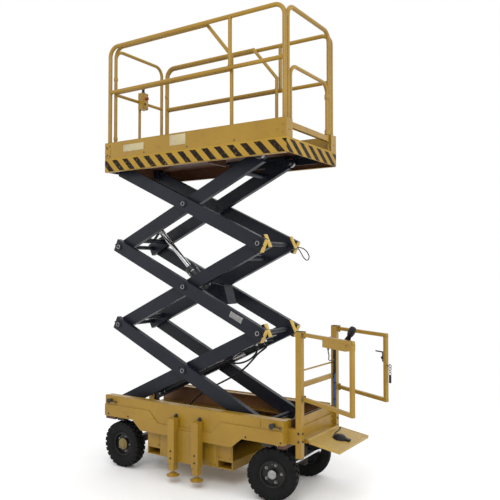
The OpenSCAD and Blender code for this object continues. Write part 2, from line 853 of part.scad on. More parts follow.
// Ears for the cylinder rod's eye, on the lower cross tube
module eye_bracket() {
    gap = eye_w / 2 + swing_gap;
    both_sides() {
        plate_y([
            [lower_cross_at - cross_d / 2, 0], [lower_cross_at, -cross_d / 3],
            [eye_at + cross_d / 2, eye_rise], [eye_at - cross_d / 2, eye_rise]
        ], gap, gap + lug_t);
        translate([eye_at, 0, eye_rise]) bar_y(cross_d, gap, gap + lug_t);
    }
}

module inner_arms_1() color("#22252c") inner_arms(1);

module inner_arms_2() color("#22252c") inner_arms(2);

module inner_arms_3() color("#22252c") inner_arms(3);

// Shaft across both outer arms with its heads and washers
module full_shaft(at) {
    translate([at, 0, 0]) bar_y(pin_d, -scissor_w / 2 - head_t, scissor_w / 2 + head_t);
    both_sides() shaft_rings(at);
}

// Head outside an outer arm and washer inside it
module shaft_rings(at) {
    translate([at, 0, 0]) {
        bar_y(head_d, scissor_w / 2, scissor_w / 2 + head_t);
        bar_y(head_d, outer_y - arm_t / 2 - arm_gap + seat_gap, outer_y - arm_t / 2);
    }
}

// Outer arms of one level with their shafts and middle pins
module outer_arms(level) {
    outer_frame(level) difference() {
        union() {
            arm_pair(outer_y, level < len(levels) ? -arm_over : nose_back, arm_l + arm_over);
            if (level == len(levels)) arm_noses(0, outer_y);
            for (at = level < len(levels) ? [0, arm_l] : [arm_l]) full_shaft(at);
            both_sides() {
                translate([arm_l / 2, 0, 0]) bar_y(pin_d, inner_face - arm_gap, scissor_w / 2 + head_t);
                shaft_rings(arm_l / 2);
            }
            if (level == 1)
                both_sides() translate([arm_l, 0, 0]) bar_y(pin_d, outer_y, roller_y + roller_w);
            if (level == 2) base_bracket();
        }
        if (level == len(levels)) arm_bores(0, outer_y);
    }
}

// Cross tube for the cylinder barrel's base, with two cheek plates and a web behind the barrel
module base_bracket() {
    gap = base_w / 2 + seat_gap;
    foot = base_d / 2;
    translate([base_at, 0, -base_drop]) {
        bar_y(base_d, -outer_y, outer_y);
        both_sides() {
            bar_y(base_ring_d, gap, gap + lug_t);
            plate_y([
                [-cast_left, 0], [-foot, -foot], [foot, -foot], [cast_right, base_drop],
                [cast_top_l, cast_top], [-cast_left / 2, cast_top * 4 / 5]
            ], gap, gap + lug_t);
        }
        plate_y([
            [cast_right - lug_t, base_drop], [cast_right, base_drop],
            [cast_top_l, cast_top], [cast_top_l - lug_t, cast_top]
        ], -gap, gap);
    }
}

module outer_arms_1() color("#22252c") outer_arms(1);

module outer_arms_2() color("#22252c") outer_arms(2);

module outer_arms_3() color("#22252c") outer_arms(3);

// Roller with its running bore, on both sides
module roller_pair(y) {
    both_sides() difference() {
        bar_y(roller_d, y, y + roller_w);
        bar_y(pin_d + 2 * run_gap, y - cut, y + roller_w + cut);
    }
}

module rollers_lower() color("silver") translate([pivot_x + arm_dx, 0, pivot_z]) roller_pair(roller_y);

module rollers_upper() color("silver")
    translate([pivot_x + arm_dx, 0, top_pin_z]) roller_pair(inner_y + arm_t / 2 + swing_gap);

// Valve block under the upper cross tube of the first inner arms
valve_l = 190;
valve_w = 180;
valve_h = cross_d;
port_d = 46;

module valve_block() color("gray") inner_frame(1)
    translate([upper_cross_at, 0, 0]) {
        block([cross_d / 2, -valve_w / 2, -valve_h / 2], [cross_d / 2 + valve_l, valve_w / 2, valve_h / 2]);
        for (i = [1:3]) translate([cross_d / 2 + i * valve_l / 4, 0, 0])
            bar_y(port_d, -valve_w / 2 - port_d, valve_w / 2 + port_d / 2);
    }

// Hose along the first inner arms, from the valve block to the lower cross tube
hose_d = 20;

module hose() color("black") inner_frame(1) {
    y = inner_face - hose_d - swing_gap;
    z = -cross_d / 2 - hose_d / 2 - seat_gap;
    port = upper_cross_at + cross_d / 2 + valve_l / 2;
    bent_tube([[lower_cross_at - 2 * hose_d, y, z], [port, y, z], [port, 0, z]], hose_d, 2 * hose_d);
}

// Lift cylinder

function inner_point(level, at, rise) = [
    pivot_x + at * cos(rest_angle) - rise * sin(rest_angle), 0,
    pivot_z + (level - 1) * arm_dz + at * sin(rest_angle) + rise * cos(rest_angle)
];
function outer_point(level, at, rise) = [
    pivot_x + at * cos(rest_angle) + rise * sin(rest_angle), 0,
    pivot_z + level * arm_dz - at * sin(rest_angle) + rise * cos(rest_angle)
];
base_p = outer_point(2, base_at, -base_drop);
eye_p = inner_point(3, eye_at, eye_rise);
cyl_v = eye_p - base_p;
cyl_l = norm(cyl_v);
cyl_angle = atan2(cyl_v.z, cyl_v.x);

// The child in the frame of the cylinder: along +X from its base pin
module cylinder_frame() {
    translate(base_p) rotate([0, -cyl_angle, 0]) children();
}

// A cylinder along X
module bar_x(d, x0, x1) {
    translate([x0, 0, 0]) rotate([0, 90, 0]) cylinder(d = d, h = x1 - x0);
}

module cylinder_barrel() color("darkslategray") cylinder_frame() difference() {
    union() {
        bar_y(base_ring_d, -base_w / 2, base_w / 2);
        bar_x(barrel_d, 0, barrel_l);
        bar_x(barrel_d + head_t, barrel_l - rod_d, barrel_l);
    }
    bar_y(base_d + 2 * run_gap, -barrel_d, barrel_d);
    bar_x(rod_d + 2 * run_gap, base_ring_d / 2 + head_t, barrel_l + cut);
}

module cylinder_rod() color("silver") cylinder_frame() {
    bar_x(rod_d, rod_back, cyl_l);
    translate([cyl_l, 0, 0]) bar_y(eye_ring_d, -eye_w / 2, eye_w / 2);
}

// Platform

// Floor plate with cross ribs under it
module deck() color("goldenrod") {
    half = deck_w / 2 - sheet_t - seat_gap;
    end = deck_l / 2 - sheet_t - seat_gap;
    rib = band_h / 2;
    wide_block(-end, end, half, floor_z - floor_t, floor_z);
    for (x = [-end, -sheet_t, end - 2 * sheet_t])
        wide_block(x, x + 2 * sheet_t, inner_face - rib, floor_z - floor_t - rib, floor_z - floor_t);
}

// Striped band around the deck's edges
module striped_band() color("black") difference() {
    wide_block(-deck_l / 2, deck_l / 2, deck_w / 2, deck_z, floor_z);
    wide_block(-deck_l / 2 + sheet_t, deck_l / 2 - sheet_t,
        deck_w / 2 - sheet_t, deck_z - cut, floor_z + cut);
}

// Toe boards along the sides, with corner plates beside the entry
module toe_boards() color("goldenrod") both_sides() {
    block([-deck_l / 2, deck_w / 2 - sheet_t, floor_z], [deck_l / 2, deck_w / 2, floor_z + toe_h]);
    block([deck_l / 2 - sheet_t, entry_half, floor_z], [deck_l / 2, deck_w / 2, floor_z + toe_h]);
}

// Ears and pins of the platform's fixed pivots, and the upper rollers' tracks
module deck_brackets() color("#22252c") both_sides() {
    top = floor_z - floor_t;
    out = scissor_w / 2 + swing_gap;
    for (y = [outer_y - arm_t / 2 - swing_gap - bracket_t, out]) {
        block([pivot_x - ear_d / 2, y, top_pin_z], [pivot_x + ear_d / 2, y + bracket_t, top]);
        translate([pivot_x, 0, top_pin_z]) bar_y(ear_d, y, y + bracket_t);
    }
    translate([pivot_x, 0, top_pin_z])
        bar_y(pin_d, outer_y - arm_t / 2 - swing_gap - bracket_t, out + bracket_t);
    block([pivot_x + arm_l / 2, inner_y + arm_t / 2 + swing_gap, top_pin_z + roller_r + seat_gap],
        [deck_l / 2 - 2 * cross_l, out + bracket_t, top]);
    block([pivot_x + arm_l / 2, out, top_pin_z - roller_r / 2],
        [deck_l / 2 - 2 * cross_l, out + bracket_t, top]);
}

// Side rail on the far side: an inverted U with a mid rail
module side_rail() {
    bent_tube([
        [-rail_x, rail_y, floor_z],
        [-rail_x, rail_y, rail_z],
        [rail_x, rail_y, rail_z],
        [rail_x, rail_y, floor_z]
    ], rail_d, bend_r);
    rod_between([-rail_x, rail_y, mid_z], [rail_x, rail_y, mid_z], mid_d);
    rod_between([short_post_x, rail_y, mid_z], [short_post_x, rail_y, rail_z], mid_d - cut);
    for (x = [-rail_x, rail_x]) translate([x, rail_y, floor_z]) cylinder(d = rail_foot_d, h = rail_foot_h);
}

module side_rail_near() color("goldenrod") on_side(-1) side_rail();

module side_rail_far() color("goldenrod") on_side(1) side_rail();

// Gap between the gate, the end rail and the side rails
gate_clear = 3;
end_rail_y = rail_y - rail_d / 2 - rail_foot_d / 2 - gate_clear;

// Rings that the gate turns in
gate_ring_t = 6;
gate_ring_h = 40;
gate_y = end_rail_y - rail_d / 2 - gate_clear - ext_d / 2;
gate_z = floor_z + gate_h - ext_d / 2;

// End rail over the entry, with the gate's rings on its far leg
module end_rail() color("goldenrod") {
    bent_tube([
        [rail_x, -end_rail_y, floor_z], [rail_x, -end_rail_y, rail_z], [rail_x, end_rail_y, rail_z],
        [rail_x, end_rail_y, floor_z]
    ], rail_d, bend_r);
    for (z = [floor_z + gate_low + ext_d, gate_z - bend_r - gate_ring_h])
        translate([rail_x, gate_y, z]) difference() {
            cylinder(d = ext_d + 2 * gate_ring_t, h = gate_ring_h);
            translate([0, 0, -cut]) cylinder(d = ext_d + 2 * run_gap, h = gate_ring_h + 2 * cut);
        }
}

// Swing gate in the entry
module gate() color("goldenrod") {
    low = floor_z + gate_low;
    bent_tube([
        [rail_x, -gate_y + swing_gap, low], [rail_x, -gate_y + swing_gap, gate_z], [rail_x, gate_y, gate_z],
        [rail_x, gate_y, low]
    ], ext_d, bend_r);
    block([rail_x - ext_d / 2, -gate_y, low - ext_d], [rail_x + ext_d / 2, gate_y, low + ext_d / 2]);
}

// Sliding deck that lies on the floor, with its end toe board
module extension_deck() color("goldenrod") {
    x1 = ext_x1 + ext_d;
    wide_block(-deck_l / 2 + sheet_t + seat_gap, x1, ext_w / 2, ext_z, ext_top);
    wide_block(-deck_l / 2, -deck_l / 2 + sheet_t + seat_gap, ext_w / 2, ext_z, floor_z + toe_h);
}

// Rails of the sliding deck: two sloping side rails, their mid rails and the end rail
module extension_rails() color("goldenrod") {
    both_sides() {
        bent_tube([
            [side_leg_x, ext_y, ext_top], [side_leg_x, ext_y, rail_z], [ext_x1 - ext_slope_l, ext_y, rail_z]
        ], ext_d, bend_r);
        rod_between([ext_x1 - ext_slope_l, ext_y, rail_z], [ext_x1, ext_y, rail_z - ext_slope_h], ext_d);
        rod_between([ext_x1, ext_y, ext_top], [ext_x1, ext_y, rail_z - ext_slope_h], ext_d);
        for (p = [[ext_x1 - ext_slope_l, rail_z], [ext_x1, rail_z - ext_slope_h]])
            translate([p.x, ext_y, p.y]) sphere(d = ext_d + elbow_t);
        rod_between([side_leg_x, ext_y, mid_z], [ext_x1, ext_y, mid_z], ext_mid_d);
        translate([ext_x1, ext_y, ext_top]) cylinder(d = ext_d + sheet_t, h = ext_foot_h);
    }
    bent_tube([
        [end_leg_x, -end_leg_y, ext_top], [end_leg_x, -end_leg_y, rail_z], [end_leg_x, end_leg_y, rail_z],
        [end_leg_x, end_leg_y, ext_top]
    ], ext_d, bend_r);
    rod_between([end_leg_x, -end_leg_y, mid_z], [end_leg_x, end_leg_y, mid_z], ext_mid_d);
    rod_between([end_leg_x, 0, ext_top], [end_leg_x, 0, mid_z], ext_mid_d - cut);
}

// Control box on the end rail's short post, with its lever
module platform_control() color("goldenrod") {
    x = end_leg_x + ext_mid_d / 2 + seat_gap;
    block([x, -pod_w / 2, mid_z - pod_h / 2], [x + pod_t, pod_w / 2, mid_z + pod_h / 2]);
    translate([x + pod_t / 2, 0, mid_z + pod_h / 2]) cylinder(d1 = pod_t / 3, d2 = pod_t / 2, h = pod_t);
}

side_beam_near();
side_beam_far();
cross_members();
belly_box();
battery_block();
pivot_brackets();
rear_axle();
front_axle();
jack_housing_near();
jack_housing_far();
jack_leg_near_left();
jack_leg_near_right();
jack_leg_far_left();
jack_leg_far_right();
knuckle_near();
knuckle_far();
tie_rod();
rim_rear_near();
rim_rear_far();
rim_front_near();
rim_front_far();
tyre_rear_near();
tyre_rear_far();
tyre_front_near();
tyre_front_far();
station_frame();
station_panel();
conduit();
conduit_sleeve();
guard_near();
guard_far();
control_box();
control_grip();
step_plate();
foot_pedal();
inner_arms_1();
inner_arms_2();
inner_arms_3();
outer_arms_1();
outer_arms_2();
outer_arms_3();
rollers_lower();
rollers_upper();
valve_block();
hose();
cylinder_barrel();
cylinder_rod();
deck();
striped_band();
toe_boards();
deck_brackets();
side_rail_near();
side_rail_far();
end_rail();
gate();
extension_deck();
extension_rails();
platform_control();
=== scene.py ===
"""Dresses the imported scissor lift: materials, tyres, fasteners, trims, camera and light."""
import json
import math

import bmesh
import bpy
from mathutils import Matrix, Vector


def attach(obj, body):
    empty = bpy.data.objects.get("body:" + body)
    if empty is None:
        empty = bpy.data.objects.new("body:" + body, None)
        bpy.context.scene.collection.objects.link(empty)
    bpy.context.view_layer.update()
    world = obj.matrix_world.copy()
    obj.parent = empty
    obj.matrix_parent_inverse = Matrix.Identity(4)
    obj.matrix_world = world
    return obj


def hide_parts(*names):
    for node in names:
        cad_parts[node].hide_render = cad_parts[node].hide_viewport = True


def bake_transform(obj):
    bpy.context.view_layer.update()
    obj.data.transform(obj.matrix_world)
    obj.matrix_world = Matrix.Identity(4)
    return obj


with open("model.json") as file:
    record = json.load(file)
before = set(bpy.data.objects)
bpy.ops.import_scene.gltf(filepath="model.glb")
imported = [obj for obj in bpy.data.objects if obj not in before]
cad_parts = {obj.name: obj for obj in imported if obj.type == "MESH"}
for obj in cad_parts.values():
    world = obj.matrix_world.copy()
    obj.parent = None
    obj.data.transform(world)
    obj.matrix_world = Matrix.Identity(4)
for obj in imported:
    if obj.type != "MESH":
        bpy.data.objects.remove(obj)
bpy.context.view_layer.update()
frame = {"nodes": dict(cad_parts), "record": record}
nodes = frame["nodes"]

# Values of the CAD model, in metres and radians
PIVOT_X = -0.955
PIVOT_Z = 0.564
ARM_L = 1.76
ARM_OVER = 0.05
ARM_H = 0.12
ARM_T = 0.05
TILT = math.radians(25.2)
ARM_DZ = ARM_L * math.sin(TILT)
OUTER_Y = 0.275
INNER_Y = 0.219
INNER_FACE = 0.194
SCISSOR_HALF = 0.3
HEAD_T = 0.009
DECK_HALF_L = 1.0
DECK_HALF_W = 0.45
DECK_Z = PIVOT_Z + 3 * ARM_DZ - 0.04
FLOOR_Z = DECK_Z + 0.124
RAIL_X = 0.966
RAIL_Y = 0.4187
RAIL_Z = FLOOR_Z + 1.1 - 0.019
MID_Z = FLOOR_Z + 0.645
EXT_Y = 0.3737
FRAME_HALF = 0.42
PAD_Y = 0.43
BEAM_TOP = 0.651
FRONT_X = 0.785
REAR_X = 0.81
REAR_Y = 0.35
KINGPIN_Y = 0.24
AXLE_Z = 0.21
WHEEL_OUT = 0.11
STEER = math.radians(15)
HINGE_X = 1.087
POST_X = 1.042
POST_Y = 0.32
POST_HALF = 0.025
GUARD_TURN = math.radians(-30)
GUARD_TOP = 1.33
GUARD_LOW = 0.825
GUARD_L = 0.64
GUARD_S = 0.028
STEP_X = 1.082
STEP_Z = 0.487
STEP_TILT = math.radians(9)
JACK_X = 0.13
JACK_Y = 0.465

# Directions
SIDES = (-1, 1)
ALONG = (1, 0, 0)
ACROSS = (0, 1, 0)
UP = (0, 0, 1)
DOWN = (0, 0, -1)


# Frames of the moving groups, at rest

def move(x, y, z):
    return Matrix.Translation((x, y, z))


def turn(angle, axis):
    return Matrix.Rotation(angle, 4, axis)


def inner_frame(level):
    return move(PIVOT_X, 0, PIVOT_Z + (level - 1) * ARM_DZ) @ turn(-TILT, "Y")


def outer_frame(level):
    return move(PIVOT_X, 0, PIVOT_Z + level * ARM_DZ) @ turn(TILT, "Y")


def guard_frame(side):
    return move(HINGE_X, side * POST_Y, 0) @ turn(GUARD_TURN, "Z")


def step_frame():
    return move(STEP_X, 0, STEP_Z) @ turn(STEP_TILT, "Y")


def wheel_frame(front, side):
    """Middle of a wheel, with +Y towards its outer face."""
    flip = turn(math.pi, "Z") if side < 0 else Matrix.Identity(4)
    if front:
        hub = move(FRONT_X, side * KINGPIN_Y, AXLE_Z) @ turn(STEER, "Z")
        return hub @ move(0, side * WHEEL_OUT, 0) @ flip
    return move(-REAR_X, side * REAR_Y, AXLE_Z) @ flip


# Materials

PAINT_EDGE = 0.004
PAINT_GRAIN = 260.0
PAINT_BUMP = 0.06
# Hazard stripes: pitch and lean on the sides, what the ends add to each, and where they start
STRIPE_PITCH = 0.1333
STRIPE_PITCH_END = 0.02
STRIPE_LEAN = 0.95
STRIPE_LEAN_END = 0.45
STRIPE_START = 40.3
STRIPE_LOW = DECK_Z + 0.003
STRIPE_HIGH = FLOOR_Z - 0.016
YELLOW = (0.305, 0.178, 0.014)
YELLOW_SHADE = (0.24, 0.132, 0.009)
BROWN = (0.13, 0.055, 0.02)
# Dark brown that stands for the shade under and inside the platform: painted shade on the band's inward
# faces, the deck and the cross members
UNDERSIDE_SHADE = (0.08, 0.033, 0.015)


def new_material(name):
    mat = bpy.data.materials.new(name)
    mat.use_nodes = True
    tree = mat.node_tree
    return mat, tree, tree.nodes["Principled BSDF"]


def noise(tree, coord, scale, detail=6.0, rough=0.6):
    node = tree.nodes.new("ShaderNodeTexNoise")
    node.inputs["Scale"].default_value = scale
    node.inputs["Detail"].default_value = detail
    node.inputs["Roughness"].default_value = rough
    tree.links.new(coord, node.inputs["Vector"])
    return node.outputs["Fac"]


def ramp(tree, value, low, high, a=0.0, b=1.0):
    node = tree.nodes.new("ShaderNodeMapRange")
    node.inputs["From Min"].default_value = low
    node.inputs["From Max"].default_value = high
    node.inputs["To Min"].default_value = a
    node.inputs["To Max"].default_value = b
    tree.links.new(value, node.inputs["Value"])
    return node.outputs["Result"]


def mix(tree, factor, a, b):
    node = tree.nodes.new("ShaderNodeMix")
    node.data_type = "RGBA"
    tree.links.new(factor, node.inputs["Factor"])
    for colour, socket in ((a, node.inputs["A"]), (b, node.inputs["B"])):
        if isinstance(colour, tuple):
            socket.default_value = (*colour, 1)
        else:
            tree.links.new(colour, socket)
    return node.outputs["Result"]


def math_node(tree, kind, a, b=None):
    node = tree.nodes.new("ShaderNodeMath")
    node.operation = kind
    for value, socket in ((a, node.inputs[0]), (b, node.inputs[1])):
        if value is None:
            continue
        if isinstance(value, (int, float)):
            socket.default_value = value
        else:
            tree.links.new(value, socket)
    return node.outputs[0]


def coords(tree):
    return tree.nodes.new("ShaderNodeTexCoord").outputs["Object"]


def edge_mask(tree, radius):
    """A mask near 1 along a solid's edges and 0 on its faces, and the normal of rounded edges."""
    bevel = tree.nodes.new("ShaderNodeBevel")
    bevel.samples = 4
    bevel.inputs["Radius"].default_value = radius
    geometry = tree.nodes.new("ShaderNodeNewGeometry")
    dot = tree.nodes.new("ShaderNodeVectorMath")
    dot.operation = "DOT_PRODUCT"
    tree.links.new(bevel.outputs[0], dot.inputs[0])
    tree.links.new(geometry.outputs["Normal"], dot.inputs[1])
    return ramp(tree, dot.outputs["Value"], 0.995, 0.9), bevel.outputs[0]


def finish_surface(tree, shader, coord, colour, rough, bump, grain, rounded=None):
    """Joins the colour, a varied roughness and a fine bump to the shader."""
    tree.links.new(colour, shader.inputs["Base Color"])
    patches = noise(tree, coord, 9.0)
    tree.links.new(ramp(tree, patches, 0.3, 0.7, rough[0], rough[1]), shader.inputs["Roughness"])
    node = tree.nodes.new("ShaderNodeBump")
    node.inputs["Strength"].default_value = bump
    node.inputs["Distance"].default_value = 0.002
    tree.links.new(noise(tree, coord, grain, 3.0), node.inputs["Height"])
    if rounded is not None:
        tree.links.new(rounded, node.inputs["Normal"])
    tree.links.new(node.outputs["Normal"], shader.inputs["Normal"])


def paint(name, colour, shade, worn, dirt, rough=(0.32, 0.5), wear=0.5, shine=0.3, soil=0.45):
    """Sprayed paint: broad tone changes, soil in patches, worn and rounded edges, orange-peel bump."""
    mat, tree, shader = new_material(name)
    coord = coords(tree)
    tone = mix(tree, ramp(tree, noise(tree, coord, 2.2), 0.3, 0.75), colour, shade)
    spots = ramp(tree, noise(tree, coord, 14.0, 9.0, 0.7), 0.56, 0.78, 0.0, soil)
    tone = mix(tree, spots, tone, dirt)
    edge, rounded = edge_mask(tree, PAINT_EDGE)
    chips = ramp(tree, noise(tree, coord, 30.0), 0.42, 0.62, 0.0, wear)
    chipped = math_node(tree, "MULTIPLY", edge, chips)
    tone = mix(tree, chipped, tone, worn)
    shader.inputs["Specular IOR Level"].default_value = shine
    finish_surface(tree, shader, coord, tone, rough, PAINT_BUMP, PAINT_GRAIN, rounded)
    return mat


def steel(name, colour, shade, rough=(0.22, 0.45)):
    """Turned or plated metal with fine drawn lines, dull patches and a painted highlight along its edges."""
    mat, tree, shader = new_material(name)
    coord = coords(tree)
    tone = mix(tree, ramp(tree, noise(tree, coord, 22.0, 8.0), 0.35, 0.7), colour, shade)
    edge, rounded = edge_mask(tree, 0.0015)
    # Edges are mixed toward near-white: bright worn metal and a painted edge highlight
    tone = mix(tree, math_node(tree, "MULTIPLY", edge, 0.35), tone, (0.9, 0.9, 0.88))
    shader.inputs["Metallic"].default_value = 1.0
    finish_surface(tree, shader, coord, tone, rough, 0.05, 420.0, rounded)
    return mat


def rubber(name, colour, dust, rough=(0.62, 0.85), amount=0.35):
    """Black rubber or plastic with a dusty bloom and a fine pebble."""
    mat, tree, shader = new_material(name)
    coord = coords(tree)
    bloom = ramp(tree, noise(tree, coord, 12.0, 8.0, 0.7), 0.48, 0.8, 0.0, amount)
    tone = mix(tree, bloom, colour, dust)
    shader.inputs["Specular IOR Level"].default_value = 0.2
    finish_surface(tree, shader, coord, tone, rough, 0.12, 340.0)
    return mat


def striped(name, light, dark, dirt):
    """Hazard stripes that lean along the band's sides and ends, between two plain margins; faces that look
    inward get painted shade.
    """
    mat, tree, shader = new_material(name)
    coord = coords(tree)
    place = tree.nodes.new("ShaderNodeSeparateXYZ")
    tree.links.new(coord, place.inputs[0])
    geometry = tree.nodes.new("ShaderNodeNewGeometry")
    facing = tree.nodes.new("ShaderNodeSeparateXYZ")
    tree.links.new(geometry.outputs["True Normal"], facing.inputs[0])
    on_end = math_node(tree, "GREATER_THAN", math_node(tree, "ABSOLUTE", facing.outputs["X"]), 0.5)
    on_side = math_node(tree, "SUBTRACT", 1.0, on_end)
    along_side = math_node(tree, "MULTIPLY", place.outputs["X"], on_side)
    along_end = math_node(tree, "MULTIPLY", place.outputs["Y"], on_end)
    along = math_node(tree, "ADD", along_side, along_end)
    slope = math_node(tree, "ADD", math_node(tree, "MULTIPLY", on_end, STRIPE_LEAN_END), STRIPE_LEAN)
    lean = math_node(tree, "ADD", along, math_node(tree, "MULTIPLY", place.outputs["Z"], slope))
    pitch = math_node(tree, "ADD", math_node(tree, "MULTIPLY", on_end, STRIPE_PITCH_END), STRIPE_PITCH)
    turns = math_node(tree, "ADD", math_node(tree, "DIVIDE", lean, pitch), STRIPE_START)
    share = math_node(tree, "FRACT", turns)
    dark_part = math_node(tree, "LESS_THAN", share, 0.5)
    above = math_node(tree, "GREATER_THAN", place.outputs["Z"], STRIPE_LOW)
    below = math_node(tree, "LESS_THAN", place.outputs["Z"], STRIPE_HIGH)
    dark_part = math_node(tree, "MULTIPLY", dark_part, math_node(tree, "MULTIPLY", above, below))
    worn = ramp(tree, noise(tree, coord, 45.0, 9.0, 0.7), 0.3, 0.42)
    dark_part = math_node(tree, "MULTIPLY", dark_part, worn)
    outward = tree.nodes.new("ShaderNodeVectorMath")
    outward.operation = "DOT_PRODUCT"
    tree.links.new(coord, outward.inputs[0])
    tree.links.new(geometry.outputs["True Normal"], outward.inputs[1])
    # Faces that look towards the middle are coloured dark brown: painted shade
    shaded_inward = math_node(tree, "LESS_THAN", outward.outputs["Value"], 0.0)
    yellow = mix(tree, ramp(tree, noise(tree, coord, 3.0), 0.3, 0.75), light[0], light[1])
    tone = mix(tree, dark_part, yellow, dark)
    tone = mix(tree, shaded_inward, tone, UNDERSIDE_SHADE)
    spots = ramp(tree, noise(tree, coord, 16.0, 9.0, 0.7), 0.56, 0.8, 0.0, 0.4)
    tone = mix(tree, spots, tone, dirt)
    rounded = edge_mask(tree, PAINT_EDGE)[1]
    shader.inputs["Specular IOR Level"].default_value = 0.15
    finish_surface(tree, shader, coord, tone, (0.45, 0.65), PAINT_BUMP, PAINT_GRAIN, rounded)
    return mat


mats = {
    "yellow_paint": paint("yellow_paint", YELLOW, YELLOW_SHADE, (0.52, 0.37, 0.13), BROWN,
                          rough=(0.26, 0.44), shine=0.4),
    "black_paint": paint("black_paint", (0.005, 0.006, 0.01), (0.009, 0.011, 0.019), (0.1, 0.1, 0.11),
                         (0.04, 0.037, 0.034), rough=(0.3, 0.48), wear=0.35, shine=0.25, soil=0.2),
    "stripe_paint": striped("stripe_paint", ((0.36, 0.22, 0.03), (0.29, 0.17, 0.022)),
                            (0.009, 0.005, 0.003), BROWN),
    "rubber": rubber("rubber", (0.003, 0.003, 0.003), (0.01, 0.009, 0.008), amount=0.2),
    "dark_steel": paint("dark_steel", (0.016, 0.015, 0.014), (0.035, 0.029, 0.024), (0.14, 0.13, 0.12),
                        (0.07, 0.042, 0.024), rough=(0.4, 0.62), soil=0.6),
    "chrome": steel("chrome", (0.75, 0.75, 0.76), (0.55, 0.55, 0.57), rough=(0.1, 0.25)),
    "steel": steel("steel", (0.36, 0.36, 0.37), (0.2, 0.19, 0.18)),
    "barrel_paint": paint("barrel_paint", (0.022, 0.024, 0.028), (0.04, 0.043, 0.048), (0.2, 0.2, 0.2),
                          (0.06, 0.05, 0.04), wear=0.4),
    "black_rubber": rubber("black_rubber", (0.008, 0.008, 0.009), (0.045, 0.042, 0.04), (0.45, 0.7)),
    "blue_sleeve": rubber("blue_sleeve", (0.025, 0.065, 0.22), (0.07, 0.1, 0.2), (0.4, 0.6)),
    "black_plastic": rubber("black_plastic", (0.008, 0.008, 0.009), (0.04, 0.037, 0.034), (0.35, 0.55)),
}
# Pale yellow of the rear hub caps, darkened to stand for the shading in the wheel: partly painted shade
rim_paint_and_shade = paint("rim_paint_and_shade", (0.19, 0.14, 0.045), (0.13, 0.09, 0.026), (0.5, 0.43, 0.28), BROWN)
inside_paint = paint("inside_paint", (0.2, 0.09, 0.03), (0.13, 0.055, 0.02), (0.35, 0.2, 0.08),
                     (0.04, 0.02, 0.01))
step_paint = paint("step_paint", (0.4, 0.27, 0.065), (0.32, 0.205, 0.045), (0.55, 0.43, 0.22), BROWN)
# Black of the front rims; on the rear rims and their lips the same black is painted shade
rim_black_and_shade = paint("rim_black_and_shade", (0.006, 0.006, 0.006), (0.012, 0.011, 0.01), (0.1, 0.1, 0.1),
                  (0.03, 0.024, 0.018))
tip_paint = paint("tip_paint", (0.5, 0.345, 0.075), (0.4, 0.26, 0.045), (0.6, 0.48, 0.2), BROWN)
plate_paint = paint("plate_paint", (0.46, 0.4, 0.24), (0.38, 0.32, 0.17), (0.5, 0.42, 0.25), BROWN)
# Dark brown of the deck and the cross members: painted shade
painted_shade_brown = paint("painted_shade_brown", UNDERSIDE_SHADE, (0.075, 0.032, 0.015), (0.25, 0.14, 0.06),
                    (0.03, 0.015, 0.01))
red_plastic = rubber("red_plastic", (0.22, 0.012, 0.01), (0.4, 0.12, 0.08), (0.3, 0.5), 0.25)
green_plastic = rubber("green_plastic", (0.03, 0.22, 0.06), (0.12, 0.24, 0.12), (0.3, 0.5), 0.25)
for part in frame["record"]["subparts"]:
    thing = nodes[part["node"]]
    thing.data.materials.clear()
    thing.data.materials.append(mats[part["material_slot"]])


# Mesh building

SHARP = math.radians(35)
# Faces of a block whose corner numbers are three bits
BLOCK_FACES = ((0, 1, 3, 2), (4, 6, 7, 5), (0, 4, 5, 1), (2, 3, 7, 6), (1, 5, 7, 3), (0, 2, 6, 4))


